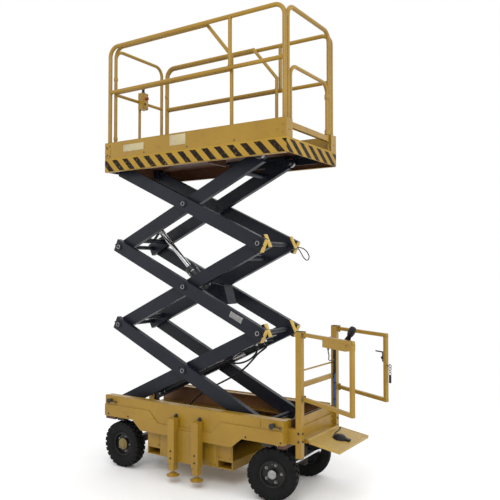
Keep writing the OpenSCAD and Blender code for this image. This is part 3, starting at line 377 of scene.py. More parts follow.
class Shape:
    """Collects plain solids in one mesh, each placed by a frame."""

    def __init__(self, place=None):
        self.bm = bmesh.new()
        self.place = place or Matrix.Identity(4)

    def box(self, a, b, bevel=0.0):
        """Box between two opposite corners."""
        low = Vector([min(pair) for pair in zip(a, b)])
        high = Vector([max(pair) for pair in zip(a, b)])
        made = bmesh.ops.create_cube(self.bm, size=1.0)["verts"]
        size = high - low
        middle = (high + low) / 2
        matrix = self.place @ Matrix.Translation(middle) @ Matrix.Diagonal((*size, 1))
        bmesh.ops.transform(self.bm, matrix=matrix, verts=made)
        if bevel:
            edges = list(dict.fromkeys(e for v in made for e in v.link_edges))
            bmesh.ops.bevel(self.bm, geom=edges, offset=bevel, segments=2, affect="EDGES", profile=0.6)

    def lathe(self, base, axis, profile, count=24):
        """Turns (radius, height) points around an axis that starts at base."""
        spin = Vector(axis).normalized().to_track_quat("Z", "Y").to_matrix().to_4x4()
        matrix = self.place @ Matrix.Translation(Vector(base)) @ spin
        rings = []
        for radius, height in profile:
            if radius < 1e-6:
                rings.append([self.bm.verts.new(matrix @ Vector((0, 0, height)))])
                continue
            ring = []
            for i in range(count):
                a = 2 * math.pi * i / count
                spot = Vector((radius * math.cos(a), radius * math.sin(a), height))
                ring.append(self.bm.verts.new(matrix @ spot))
            rings.append(ring)
        for low, high in zip(rings, rings[1:]):
            for i in range(count):
                j = (i + 1) % count
                corners = [low[i % len(low)], low[j % len(low)], high[j % len(high)], high[i % len(high)]]
                corners = list(dict.fromkeys(corners))
                if len(corners) > 2:
                    self.bm.faces.new(corners)

    def rod(self, a, b, radius, count=16):
        """Round bar with slightly rounded ends."""
        span = Vector(b) - Vector(a)
        r = min(radius * 0.25, 0.002)
        length = span.length
        profile = [(0, 0), (radius - r, 0), (radius, r), (radius, length - r), (radius - r, length),
                   (0, length)]
        self.lathe(a, span, profile, count)

    def bolt(self, base, axis, size):
        """Hexagon head on a washer, standing on base."""
        r = size * 1.1
        t = size * 0.16
        self.lathe(base, axis, [(0, 0), (r, 0), (r, t * 0.7), (r * 0.94, t), (0, t)], 20)
        base = Vector(base) + Vector(axis).normalized() * t
        h = size * 0.6
        r = size * 0.92
        self.lathe(base, axis, [(0, 0), (r, 0), (r, h * 0.8), (r * 0.84, h), (0, h)], 6)

    def ring(self, base, axis, inner, outer, height, count=28):
        """Collar with chamfered edges at its far end."""
        c = min((outer - inner) * 0.25, height * 0.3)
        profile = [(inner, 0), (outer, 0), (outer, height - c), (outer - c, height), (inner + c, height),
                   (inner, height - c), (inner, 0)]
        self.lathe(base, axis, profile, count)

    def torus(self, centre, axis, major, minor, count=24, around=8):
        """Round ring or weld bead."""
        profile = []
        for i in range(around + 1):
            a = 2 * math.pi * i / around
            profile.append((major + minor * math.cos(a), minor * math.sin(a)))
        self.lathe(centre, axis, profile, count)

    def block(self, corners):
        """Six-sided block from eight corners, in the order of BLOCK_FACES."""
        v = [self.bm.verts.new(self.place @ c) for c in corners]
        for face in BLOCK_FACES:
            self.bm.faces.new([v[k] for k in face])

    def done(self, name, body, slot, mat=None):
        """Makes the mesh a piece that rides on a body."""
        bmesh.ops.remove_doubles(self.bm, verts=self.bm.verts, dist=1e-6)
        bmesh.ops.recalc_face_normals(self.bm, faces=self.bm.faces)
        mesh = bpy.data.meshes.new(name)
        self.bm.to_mesh(mesh)
        self.bm.free()
        for face in mesh.polygons:
            face.use_smooth = True
        mesh.set_sharp_from_angle(angle=SHARP)
        thing = bpy.data.objects.new(name, mesh)
        bpy.context.scene.collection.objects.link(thing)
        mesh.materials.append(mat or mats[slot])
        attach(thing, body)
        return thing


def smooth(points, steps=8):
    """Points along a smooth line through the given ones."""
    ends = [points[0] * 2 - points[1], *points, points[-1] * 2 - points[-2]]
    line = [points[0]]
    for a, b, c, d in zip(ends, ends[1:], ends[2:], ends[3:]):
        for i in range(1, steps + 1):
            t = i / steps
            bend = (a * 2 - b * 5 + c * 4 - d) * t ** 2 + (b * 3 - a - c * 3 + d) * t ** 3
            line.append((b * 2 + (c - a) * t + bend) / 2)
    return line


def cord(name, body, slot, points, diameter, other=None):
    """A free cord from the first point to the last, along a smooth line.

    With other, the cord is turned into a mesh where it lies and is attached to no body.
    """
    line = smooth([Vector(p) for p in points])
    data = bpy.data.curves.new(name, "CURVE")
    data.dimensions = "3D"
    data.bevel_depth = diameter / 2
    data.bevel_resolution = 3
    data.use_fill_caps = True
    spline = data.splines.new("POLY")
    spline.points.add(len(line) - 1)
    for spot, point in zip(spline.points, line):
        spot.co = (*point, 1)
    data.materials.append(mats[slot])
    thing = bpy.data.objects.new(name, data)
    bpy.context.scene.collection.objects.link(thing)
    if other:
        bpy.context.view_layer.update()
        tube = bpy.data.meshes.new_from_object(thing)
        bpy.data.objects.remove(thing)
        thing = bpy.data.objects.new(name, tube)
        bpy.context.scene.collection.objects.link(thing)
        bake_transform(thing)
    else:
        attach(thing, body)


# Wheels

# Half section of the carcass as radius and half width, from bead to tread
CARCASS = [(0.105, 0.034), (0.116, 0.044), (0.135, 0.051), (0.152, 0.0545), (0.17, 0.055), (0.184, 0.053),
           (0.194, 0.049), (0.2, 0.043), (0.2, 0.0)]
# Radius, half width and thickness of the side ribs
RIBS = ((0.122, 0.0465, 0.0025), (0.158, 0.0525, 0.0022))
LUGS = 26
LUG_PITCH = 2 * math.pi / LUGS
LUG_TOP = 0.21
# Rows of tread blocks: from, to, and shift along the tread
LUG_ROWS = ((-0.0535, -0.02, 0.0), (-0.0165, 0.0165, 0.5), (0.02, 0.0535, 0.0))
# Section of the blocks' run over the shoulder, as radius and half width
SHOULDER = ((0.172, 0.0545), (0.172, 0.0565), (0.204, 0.045), (0.205, 0.0535))
WHEEL_NUTS = 5
NUT_CIRCLE = 0.07
STUD = [(0, 0), (0.0085, 0), (0.0075, 0.0012), (0.0048, 0.0012), (0.0048, 0.0075), (0.0036, 0.009),
        (0, 0.009)]
FRONT_CAP = [(0, 0), (0.034, 0), (0.036, 0.002), (0.036, 0.008), (0.033, 0.011), (0.026, 0.012),
             (0.024, 0.0145), (0.012, 0.016), (0, 0.016)]
REAR_CAP = [(0, 0), (0.05, 0), (0.052, 0.002), (0.052, 0.005), (0.049, 0.0075), (0.038, 0.009),
            (0.036, 0.012), (0.034, 0.017), (0.024, 0.0185), (0.012, 0.021), (0, 0.021)]


def around(radius, angle, y):
    """A point of a wheel, by its radius and its angle from the top."""
    return Vector((radius * math.sin(angle), y, radius * math.cos(angle)))


def tread_block(shape, angle, y0, y1, middle):
    """One tread block, lower at the shoulder and narrower at its top; the middle row lies askew."""
    span = LUG_PITCH * (0.31 if middle else 0.36)
    skew = 0.1 if middle else 0.0
    corners = []
    for y in (y0, y1):
        edge = abs(y) > 0.05
        foot = 0.193 if edge else 0.197
        head = LUG_TOP - 0.006 if edge else LUG_TOP
        for t in SIDES:
            for r, share in ((foot, 1.0), (head, 0.92)):
                corners.append(around(r, angle + t * (span * share + skew * (y - y0)), y))
    shape.block(corners)


def tyre(name, body, node, front, side):
    """Carcass with raised side ribs and staggered tread blocks that run on over the shoulders."""
    shape = Shape(wheel_frame(front, side))
    profile = [(r, -w) for r, w in CARCASS] + [(r, w) for r, w in reversed(CARCASS[:-1])]
    shape.lathe((0, 0, 0), ACROSS, profile, 72)
    for flank in SIDES:
        for r, y, rise in RIBS:
            shape.torus((0, flank * y, 0), ACROSS, r, rise, 64, 6)
    for i in range(LUGS):
        for row, (y0, y1, shift) in enumerate(LUG_ROWS):
            tread_block(shape, (i + shift) * LUG_PITCH, y0, y1, row == 1)
        ends = [(i + t * 0.34) * LUG_PITCH for t in SIDES]
        for flank in SIDES:
            shape.block([around(r, angle, flank * y) for r, y in SHOULDER for angle in ends])
    thing = shape.done(name, body, "rubber")
    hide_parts(node)


def hub(name, body, front, side):
    """Washers and studs of the wheel nuts, a valve, the cap on a wheel's outer face, and the rim's lips."""
    place = wheel_frame(front, side)
    nuts = Shape(place)
    for i in range(WHEEL_NUTS):
        a = 2 * math.pi * i / WHEEL_NUTS
        x = side * NUT_CIRCLE * math.cos(a)
        z = NUT_CIRCLE * math.sin(a)
        nuts.ring((x, 0.0044, z), ACROSS, 0.004, 0.0135, 0.0026, 24)
        nuts.lathe((x, 0.0164, z), ACROSS, STUD, 14)
    nuts.rod((0.0, 0.012, 0.088), (0.0, 0.036, 0.082), 0.004, 10)
    nuts.done(name + "_nuts", body, "steel")
    cap = Shape(place)
    if front:
        cap.lathe((0, 0.034, 0), ACROSS, FRONT_CAP, 36)
        cap.done(name + "_cap", body, "steel")
    else:
        cap.lathe((0, 0.028, 0), ACROSS, REAR_CAP, 40)
        # The rear cap's pale yellow is darkened as painted shade
        cap.done(name + "_cap", body, "yellow_paint", rim_paint_and_shade)
    # The lips are black: the front rims' own colour, painted shade on the rear rims
    lips = Shape(place)
    for y in (-0.033, 0.0295):
        lips.ring((0, y, 0), ACROSS, 0.0965, 0.1085, 0.0035, 64)
    lips.done(name + "_lips", body, "dark_steel", rim_black_and_shade)


for front in (False, True):
    for side in SIDES:
        label = ("front" if front else "rear") + ("_near" if side < 0 else "_far")
        tyre("tyre_" + label + "_tread", "wheel_" + label, "tyre_" + label, front, side)
        hub("wheel_" + label, "wheel_" + label, front, side)


# Scissor arms

TIP_L = 0.01
TIP_INSET = 0.0015
PIN_DRILL = [(0, 0.001), (0.0135, 0.001), (0.0125, 0.003), (0.004, 0.003), (0.003, 0.001), (0, 0.001)]
WELD_R = 0.004


def pin_end(bright, dark, at, y, side):
    """Bright circlip and drilled dark pin end on an arm's outer face."""
    base = (at, side * y, 0)
    bright.ring(base, (0, side, 0), 0.014, 0.02, 0.005, 28)
    dark.lathe(base, (0, side, 0), PIN_DRILL, 20)


def arm_tips(arm, place, y, length):
    """Painted blocks on the right-hand ends of a pair of arms."""
    tips = Shape(place)
    half_t = ARM_T / 2 - TIP_INSET
    half_h = ARM_H / 2 - TIP_INSET
    end = ARM_L + ARM_OVER
    for side in SIDES:
        tips.box((end, side * y - half_t, -half_h), (end + length, side * y + half_t, half_h), 0.0012)
    tips.done(arm + "_tips", arm, "yellow_paint", tip_paint)


for level in (1, 2, 3):
    arm = "outer_%d" % level
    rings = Shape(outer_frame(level))
    grease = Shape(outer_frame(level))
    heads = [0.0, ARM_L / 2, ARM_L] if level < 3 else [ARM_L / 2, ARM_L]
    for side in SIDES:
        for at in heads:
            pin_end(rings, grease, at, SCISSOR_HALF + HEAD_T, side)
    rings.done(arm + "_pin_ends", arm, "steel")
    for side in SIDES:
        for at in heads:
            for dx in (-0.052, 0.052):
                grease.bolt((at + dx, side * SCISSOR_HALF, 0), (0, side, 0), 0.0065)
        grease.ring((ARM_L / 2, side * (INNER_FACE - 0.0003), 0), (0, -side, 0), 0.0202, 0.027, 0.004, 28)
    grease.done(arm + "_screws", arm, "black_paint")
    arm_tips(arm, outer_frame(level), OUTER_Y, TIP_L if level > 1 else 0.004)
    arm = "inner_%d" % level
    if level < 3:
        arm_tips(arm, inner_frame(level), INNER_Y, TIP_L)
    welds = Shape(inner_frame(level))
    for at in (0.15, ARM_L - 0.27):
        for side in SIDES:
            welds.torus((at, side * (INNER_FACE - 0.0005), 0), ACROSS, 0.0262, WELD_R, 28, 8)
    welds.done(arm + "_welds", arm, "black_paint")


# Lift cylinder

def arm_point(sign, level, at, rise):
    """A point on an arm's middle line, raised across it; sign is 1 for inner and -1 for outer arms."""
    z = PIVOT_Z + (level - 1 if sign > 0 else level) * ARM_DZ
    x = PIVOT_X + at * math.cos(TILT) - sign * rise * math.sin(TILT)
    return Vector((x, 0, z + sign * at * math.sin(TILT) + rise * math.cos(TILT)))


BASE_AT = 1.06
BASE_DROP = 0.046
BASE_FACE = 0.0665
EYE_AT = 0.3
EYE_RISE = 0.062
BARREL_L = 0.415
BARREL_R = 0.054
GLAND_BOLTS = 8
GLAND_CIRCLE = 0.045
PORTS = (0.19, 0.385)
PORT = [(0, 0), (0.014, 0), (0.014, 0.014), (0.01, 0.018), (0.01, 0.024), (0, 0.024)]
BASE = arm_point(-1, 2, BASE_AT, -BASE_DROP)
EYE = arm_point(1, 3, EYE_AT, EYE_RISE)
CYL_L = (EYE - BASE).length
CYL_ANGLE = math.atan2(EYE.z - BASE.z, EYE.x - BASE.x)
cylinder = Matrix.Translation(BASE) @ turn(-CYL_ANGLE, "Y")
collar = Shape(cylinder)
for i in range(GLAND_BOLTS):
    a = 2 * math.pi * i / GLAND_BOLTS
    spot = (BARREL_L, GLAND_CIRCLE * math.cos(a), GLAND_CIRCLE * math.sin(a))
    collar.bolt(spot, ALONG, 0.0065)
collar.ring((BARREL_L - 0.004, 0, 0), ALONG, 0.0232, 0.033, 0.018)
for x in (0.16, 0.35):
    collar.ring((x, 0, 0), ALONG, BARREL_R - 0.001, BARREL_R + 0.003, 0.014)
collar.done("cylinder_collars", "cylinder_barrel", "steel")
pipe = Shape(cylinder)
for x in PORTS:
    pipe.lathe((x, -0.052, 0), (0, -1, 0), PORT, 18)
pipe.rod((PORTS[0], -0.07, 0), (PORTS[1], -0.07, 0), 0.007)
pipe.box((0.27, -0.078, -0.012), (0.294, -0.05, 0.012), 0.002)
pipe.done("cylinder_pipe", "cylinder_barrel", "barrel_paint")
clevis = Shape(cylinder)
clevis.ring((CYL_L - 0.08, 0, 0), ALONG, 0.022, 0.03, 0.044)
clevis.done("rod_clevis", "cylinder_rod", "steel")
ears = Shape(inner_frame(3))
for side in SIDES:
    ears.ring((EYE_AT, side * 0.046, EYE_RISE), (0, side, 0), 0.0, 0.021, 0.006)
    ears.bolt((EYE_AT, side * 0.052, EYE_RISE), (0, side, 0), 0.012)
ears.done("rod_pin_heads", "inner_3", "steel")
seat = Shape(outer_frame(2))
for side in SIDES:
    for y in (BASE_FACE, OUTER_Y - ARM_T / 2):
        seat.torus((BASE_AT, side * y, -BASE_DROP), ACROSS, 0.0252, WELD_R, 28, 8)
    for x, z in ((0.02, 0.075), (0.09, 0.02), (0.06, 0.09)):
        seat.bolt((BASE_AT + x, side * 0.0663, z), (0, side, 0), 0.009)
seat.done("base_welds", "outer_2", "black_paint")

# Valves and hoses on the first arms

VALVE_X = ARM_L - 0.245
VALVE_L = 0.19
COIL = [(0, 0), (0.021, 0), (0.021, 0.03), (0.017, 0.034), (0.012, 0.034), (0.012, 0.042), (0, 0.042)]
UNION = [(0, 0), (0.016, 0), (0.016, 0.012), (0.0125, 0.014), (0.0125, 0.026), (0.0105, 0.0305), (0, 0.0305)]
FILTER = [(0, 0), (0.011, 0), (0.011, 0.018), (0.0205, 0.02), (0.0215, 0.026), (0.0215, 0.1), (0.0205, 0.106),
          (0.0145, 0.108), (0.0145, 0.124), (0.01, 0.127), (0, 0.127)]
BELLY_UNION = [(0, 0), (0.02, 0), (0.02, 0.012), (0.0135, 0.014), (0.0135, 0.03), (0.0105, 0.034), (0, 0.034)]
HOSE_D = 0.016
# Lines of the hoses: on the arms for the loop and the feed's end, in the lift's frame for the feed
LOOP_LINE = ((1.555, -0.06, -0.049), (1.552, -0.062, -0.075), (1.525, -0.072, -0.112), (1.455, -0.09, -0.138),
             (1.365, -0.105, -0.135), (1.29, -0.125, -0.105), (1.25, -0.145, -0.07), (1.228, -0.168, -0.046))
FEED_LINE = ((-0.37, -0.04, 0.47), (-0.36, -0.04, 0.5), (-0.306, -0.04, 0.559), (-0.2, -0.04, 0.652),
             (-0.103, -0.04, 0.725), (0.075, -0.04, 0.815), (0.246, -0.04, 0.905), (0.334, -0.042, 0.968),
             (0.41, -0.045, 1.038), (0.48, -0.048, 1.108))
FEED_END = ((1.637, -0.05, -0.095), (1.65, -0.05, -0.049))
first = inner_frame(1)
valve = Shape(first)
for i in range(3):
    x = VALVE_X + VALVE_L * (i + 1) / 4
    valve.lathe((x, -0.136, 0), (0, -1, 0), COIL, 24)
    valve.bolt((x, 0.113, 0), ACROSS, 0.014)
    valve.bolt((x, -0.05, 0.025), UP, 0.009)
    valve.bolt((x, 0.05, 0.025), UP, 0.009)
valve.done("valve_fittings", "inner_1", "steel")
unions = Shape(first)
for x, y, _ in (LOOP_LINE[0], FEED_END[-1]):
    unions.lathe((x, y, -0.025), DOWN, UNION, 6)
unions.box((1.208, -INNER_FACE, -0.06), (1.248, -0.166, -0.032), 0.002)
unions.box((1.39, -INNER_FACE, -0.058), (1.43, -0.15, -0.05), 0.001)
unions.box((1.39, -0.158, -0.066), (1.43, -0.15, -0.05), 0.001)
unions.lathe((1.34, -0.154, -0.084), ALONG, FILTER, 28)
unions.done("valve_unions", "inner_1", "steel")
loop = [first @ Vector(p) for p in LOOP_LINE]
cord("valve_hose", "inner_1", "black_rubber", loop, HOSE_D)
feed = [*FEED_LINE, *(first @ Vector(p) for p in FEED_END)]
cord("feed_hose", "chassis", "black_rubber", feed, HOSE_D, "inner_1")
union = Shape()
union.lathe((-0.37, -0.04, 0.463), UP, BELLY_UNION, 6)
union.done("feed_union", "chassis", "steel")
clips = Shape(first)
for x in (0.125, 0.19, 1.42, 1.5):
    clips.ring((x - 0.006, INNER_FACE - 0.026, -0.0353), ALONG, 0.0103, 0.0135, 0.012, 20)
clips.done("hose_clips", "inner_1", "steel")

# Platform

TOE_TOP = FLOOR_Z + 0.15
PLATE_T = 0.0012
BEAD_R = 0.003
BRACE_X = 0.436
RIVET = [(0, 0), (0.003, 0), (0.002, 0.0015), (0, 0.0018)]
# Blank plates on the near toe board: from and to in x, from and to in z
TOE_PLATES = ((-0.76, -0.505, 2.944, 3.01), (-0.196, -0.015, 2.941, 3.035))
bolts = Shape()
lips = Shape()
for side in SIDES:
    y = side * DECK_HALF_W
    for x, shape in ((-RAIL_X, bolts), (RAIL_X, lips)):
        for z in (0.035, 0.1):
            shape.bolt((x, y, FLOOR_Z + z), (0, side, 0), 0.009)
    for x in (-0.5, 0.0, 0.5):
        bolts.bolt((x, y, FLOOR_Z + 0.02), (0, side, 0), 0.006)
    lips.box((-0.992, y, FLOOR_Z + 0.008), (-0.925, y + side * 0.003, FLOOR_Z + 0.128), 0.001)
    lips.box((-0.995, y - side * 0.03, DECK_Z - 0.004), (0.995, y, DECK_Z - 0.0003), 0.001)
    lips.box((-DECK_HALF_L, y - side * 0.008, TOE_TOP + 0.0002), (DECK_HALF_L, y, TOE_TOP + 0.004), 0.001)
    lips.bolt((0.915, y, FLOOR_Z + 0.06), (0, side, 0), 0.007)
    lips.bolt((DECK_HALF_L, side * 0.4, FLOOR_Z + 0.06), ALONG, 0.007)
for x in (-0.98, -0.935):
    for z in (0.022, 0.114):
        bolts.bolt((x, -DECK_HALF_W - 0.003, FLOOR_Z + z), (0, -1, 0), 0.0055)
bolts.done("platform_bolts", "platform", "dark_steel")
bare = Shape()
for x0, x1, z0, z1 in TOE_PLATES:
    bare.box((x0, -DECK_HALF_W - PLATE_T, z0), (x1, -DECK_HALF_W, z1), 0.0005)
bare.done("bare_plates", "platform", "steel", plate_paint)
bare = Shape(outer_frame(2))
bare.box((1.44, -SCISSOR_HALF - PLATE_T, -0.006), (1.575, -SCISSOR_HALF, 0.044), 0.0005)
for x in (1.447, 1.568):
    for z in (0.001, 0.037):
        bare.lathe((x, -SCISSOR_HALF - PLATE_T, z), (0, -1, 0), RIVET, 12)
bare.done("arm_plate", "outer_2", "steel")
lips.done("platform_lips", "platform", "yellow_paint")
welds = Shape()
for side in SIDES:
    y = side * RAIL_Y
    for x, sign in ((-RAIL_X, 1), (RAIL_X, -1)):
        welds.torus((x + sign * 0.0195, y, MID_Z), ALONG, 0.0185, BEAD_R, 24, 8)
        welds.torus((x, y, FLOOR_Z + 0.1), UP, 0.0195, BEAD_R, 24, 8)
    for z in (MID_Z + 0.0185, RAIL_Z - 0.0195):
        welds.torus((BRACE_X, y, z), UP, 0.0175, BEAD_R, 24, 8)
welds.done("rail_welds", "platform", "yellow_paint")


def checker(shape, x0, x1, y0, y1, z, pitch, length=0.011, rise=0.0012):
    """Raised lozenges of checker plate, turned by turns."""
    count_x = int((x1 - x0) / pitch)
    count_y = int((y1 - y0) / pitch)
    lift = Vector((0, 0, rise))
    for i in range(count_x):
        for j in range(count_y):
            cx = x0 + (i + 0.5) * (x1 - x0) / count_x
            cy = y0 + (j + 0.5) * (y1 - y0) / count_y
            a = math.pi / 4 if (i + j) % 2 else -math.pi / 4
            u = Vector((math.cos(a), math.sin(a), 0)) * length
            w = Vector((-math.sin(a), math.cos(a), 0)) * length * 0.38
            c = Vector((cx, cy, z))
            tips = (u, w, -u, -w)
            low = [shape.bm.verts.new(shape.place @ (c + p)) for p in tips]
            high = [shape.bm.verts.new(shape.place @ (c + p * 0.55 + lift)) for p in tips]
            shape.bm.faces.new(high)
            for k in range(4):
                shape.bm.faces.new([low[k], low[(k + 1) % 4], high[(k + 1) % 4], high[k]])


CHECKER_PITCH = 0.036
tread = Shape()
checker(tread, 0.46, 0.99, -0.43, 0.43, FLOOR_Z, CHECKER_PITCH)
tread.done("floor_tread", "platform", "yellow_paint")
tread = Shape()
checker(tread, -0.95, 0.43, -0.35, 0.35, FLOOR_Z + 0.0203, CHECKER_PITCH)
tread.done("slide_tread", "extension", "yellow_paint")
SLIDE_LEFT = -0.9374
SLIDE_RIGHT = 0.4226
clamps = Shape()
for side in SIDES:
    y = side * EXT_Y
    for z in (FLOOR_Z + 0.19, MID_Z + 0.12):
        clamps.ring((SLIDE_LEFT, y, z), UP, 0.0162, 0.0195, 0.03)
    clamps.torus((SLIDE_RIGHT, y, FLOOR_Z + 0.0803), UP, 0.0165, BEAD_R, 24, 8)
    for x, sign in ((SLIDE_LEFT, 1), (SLIDE_RIGHT, -1)):
        clamps.torus((x + sign * 0.0165, y, MID_Z), ALONG, 0.0155, 0.0026, 24, 8)
clamps.done("slide_clamps", "extension", "yellow_paint")

# Platform control: its face looks to +X
POD_X = -0.8961
POD_FACE = POD_X + 0.003
POD_TOP = MID_Z + 0.0825
KEY_SWITCH = [(0, 0), (0.011, 0), (0.011, 0.006), (0, 0.006)]
POD_GRIP = [(0, 0.003), (0.021, 0.003), (0.021, 0.007), (0.016, 0.009), (0.018, 0.013), (0.0135, 0.016),
            (0.0155, 0.02), (0.0135, 0.024), (0.0155, 0.046), (0.0185, 0.056), (0.0185, 0.063),
            (0.015, 0.067), (0, 0.068)]
POD_STOP = [(0, 0), (0.009, 0), (0.009, 0.01), (0.0165, 0.012), (0.0185, 0.017), (0.0165, 0.022), (0, 0.024)]
pod = Shape()
pod.box((POD_X, -0.033, MID_Z - 0.075), (POD_FACE, 0.033, MID_Z + 0.075), 0.001)
pod.box((POD_X - 0.05, -0.03, POD_TOP), (POD_X - 0.014, 0.03, POD_TOP + 0.003), 0.001)
pod.done("pod_lid", "extension", "yellow_paint")
trim = Shape()
for y in (-0.028, 0.028):
    for z in (-0.068, 0.068):
        trim.bolt((POD_FACE, y, MID_Z + z), ALONG, 0.004)
trim.lathe((POD_FACE, -0.012, MID_Z - 0.03), ALONG, KEY_SWITCH, 24)
trim.box((POD_FACE, -0.0135, MID_Z - 0.039), (POD_X + 0.012, -0.0105, MID_Z - 0.021), 0.001)
trim.done("pod_trim", "extension", "dark_steel")
grip = Shape()
grip.lathe((POD_X - 0.032, 0, POD_TOP), UP, POD_GRIP, 28)
grip.done("pod_grip", "extension", "black_plastic")
knob = Shape()
knob.lathe((POD_FACE, 0.006, MID_Z + 0.026), ALONG, POD_STOP, 28)
knob.done("pod_stop", "extension", "black_plastic", red_plastic)

# Chassis

PIN_Z = 0.612
JACK_PLUG_Z = 0.566
PANEL_IN = 0.36
PANEL_OUT = 0.363
SCREW_INSET = 0.012
# Cover panels on the belly box: from and to in x, from and to in z
PANELS = ((-0.505, -0.372, 0.246, 0.374), (-0.356, -0.178, 0.18, 0.374), (0.178, 0.262, 0.18, 0.374),
          (0.276, 0.412, 0.246, 0.374))
PULL_PIN = [(0, 0), (0.017, 0), (0.017, 0.006), (0.01, 0.008), (0.01, 0.03), (0.02, 0.033), (0.023, 0.04),
            (0.02, 0.047), (0, 0.049)]
JACK_PLUG = [(0, 0), (0.013, 0), (0.013, 0.022), (0.009, 0.026), (0, 0.026)]
JACK_WASHER = [(0, 0), (0.018, 0), (0.018, 0.003), (0, 0.003)]
LEG_SCREW = [(0, 0), (0.009, 0), (0.009, 0.004), (0.006, 0.006), (0, 0.006)]
PANEL_SCREW = [(0, 0), (0.005, 0), (0.0045, 0.002), (0.0025, 0.003), (0, 0.003)]
covers = Shape()
pins = Shape()
screws = Shape()
for side in SIDES:
    out = (0, side, 0)
    y = side * FRAME_HALF
    jack_y = side * JACK_Y
    pull_y = y + side * 0.014
    for x in (-0.921, 0.862):
        pins.lathe((x, y, PIN_Z), out, PULL_PIN, 24)
        pins.rod((x + 0.012, pull_y, 0.606), (x + 0.066, pull_y, 0.6), 0.0045, 12)
        pins.torus((x + 0.068, pull_y, 0.6), out, 0.009, 0.0028, 16, 6)
    for x in (-JACK_X, JACK_X):
        pins.lathe((x, y, JACK_PLUG_Z), out, JACK_PLUG, 6)
        pins.lathe((x, y, JACK_PLUG_Z), out, JACK_WASHER, 20)
        for z in (0.215, 0.275):
            pins.lathe((x, side * (JACK_Y + 0.035), z), out, LEG_SCREW, 6)
        covers.box((x - 0.03, jack_y - 0.03, 0.552), (x + 0.03, jack_y + 0.03, 0.556), 0.0015)
    covers.box((0.722, y, 0.585), (0.74, y + side * 0.006, 0.63), 0.002)
    for x0, x1, z0, z1 in PANELS:
        covers.box((x0, side * PANEL_IN, z0), (x1, side * PANEL_OUT, z1), 0.001)
        for z in (z0 + SCREW_INSET, z1 - SCREW_INSET):
            for x in (x0 + SCREW_INSET, x1 - SCREW_INSET):
                screws.lathe((x, side * PANEL_OUT, z), out, PANEL_SCREW, 12)
    for x in (-0.95, -0.7, 0.6, 0.93):
        screws.bolt((x, side * PAD_Y, 0.485), out, 0.0075)
    covers.box((-1.0, y, BEAM_TOP + 0.0002), (0.95, y - side * 0.03, BEAM_TOP + 0.004), 0.0015)
covers.done("chassis_plates", "chassis", "yellow_paint")
pins.done("chassis_pins", "chassis", "dark_steel")
screws.done("chassis_screws", "chassis", "dark_steel")

# Operator's station

PLUG_HALF = 0.024
TIE_X = 1.056
TIE_Y = 0.2837
plugs = Shape()
for side in SIDES:
    y = side * POST_Y
    for z0, z1 in ((1.3521, 1.357), (0.355, 0.3599)):
        low = (POST_X - PLUG_HALF, y - PLUG_HALF, z0)
        plugs.box(low, (POST_X + PLUG_HALF, y + PLUG_HALF, z1), 0.002)
plugs.done("post_plugs", "chassis", "black_plastic")
station = Shape()
for side in SIDES:
    for z in (GUARD_LOW, GUARD_TOP):
        for way in (1, -1):
            station.bolt((HINGE_X, side * POST_Y, z + way * 0.0223), (0, 0, way), 0.0085)
    for z in (0.49, 0.555):
        station.bolt((POST_X + POST_HALF, side * POST_Y, z), ALONG, 0.009)
        station.bolt((POST_X, side * (POST_Y + POST_HALF), z), (0, side, 0), 0.009)
    for z in (0.53, 0.575):
        station.bolt((1.038, side * 0.27, z), ALONG, 0.006)
station.done("station_bolts", "chassis", "dark_steel")
ties = Shape()
for z in (0.72, 0.86, 0.97, 1.09, 1.17):
    ties.ring((TIE_X, TIE_Y, z), UP, 0.0112, 0.0135, 0.008, 24)
    ties.box((TIE_X - 0.014, 0.29, z), (TIE_X + 0.01, 0.2949, z + 0.008), 0.0015)
ties.done("conduit_ties", "chassis", "black_plastic")

CAP_HALF = 0.0128
BEAD_Y = 0.0135
for side, body in ((-1, "guard_near"), (1, "guard_far")):
    place = guard_frame(side)
    caps = Shape(place)
    for z in (GUARD_LOW, GUARD_TOP):
        caps.box((GUARD_L, -CAP_HALF, z - CAP_HALF), (GUARD_L + 0.004, CAP_HALF, z + CAP_HALF), 0.0015)
    caps.done(body + "_plugs", body, "yellow_paint")
    beads = Shape(place)
    for z in (GUARD_LOW + GUARD_S / 2, GUARD_TOP - GUARD_S / 2):
        for y in (-BEAD_Y, BEAD_Y):
            beads.rod((GUARD_L - GUARD_S, y, z), (GUARD_L, y, z), 0.0026, 10)
        for x in (GUARD_L - GUARD_S, GUARD_L):
            beads.rod((x, -BEAD_Y, z), (x, BEAD_Y, z), 0.0026, 10)
    beads.done(body + "_welds", body, "yellow_paint")

# Control box on the near guard
LID_TOP = 1.3175
BUTTON_Y = 0.045
LEVER_BASE = Vector((0.484, 0.057, 1.3258))
LEVER_TILT = math.radians(38)
GLAND_X = 0.283
GLAND_Y = 0.03
SWITCH = [(0, 0), (0.012, 0), (0.012, 0.004), (0.008, 0.006), (0.008, 0.012), (0, 0.013)]
LEVER_HEAD = [(0, 0.05), (0.0165, 0.05), (0.0225, 0.064), (0.0265, 0.084), (0.027, 0.112), (0.0225, 0.127),
              (0.011, 0.1335), (0, 0.1345)]
STOP_BUTTON = [(0, 0), (0.011, 0), (0.011, 0.012), (0.02, 0.014), (0.0205, 0.02), (0.017, 0.025), (0, 0.027)]
START_BUTTON = [(0, 0), (0.011, 0), (0.011, 0.004), (0.008, 0.005), (0.0075, 0.009), (0, 0.01)]
GLAND = [(0, 0), (0.011, 0), (0.011, 0.006), (0.008, 0.008), (0.006, 0.024), (0.0042, 0.024), (0.0042, 0)]
near = guard_frame(-1)
panel = Shape(near)
panel.box((0.276, 0.018, 1.3145), (0.554, 0.072, 1.3178), 0.0012)
panel.box((0.273, 0.0745, 1.267), (0.557, 0.0785, 1.313), 0.001)
for x in (0.284, 0.546):
    for z in (1.274, 1.306):
        panel.bolt((x, 0.0785, z), ACROSS, 0.0045)
panel.done("control_lid", "guard_near", "yellow_paint")
switches = Shape(near)
for x in (0.34, 0.37):
    switches.lathe((x, BUTTON_Y, LID_TOP), UP, SWITCH, 24)
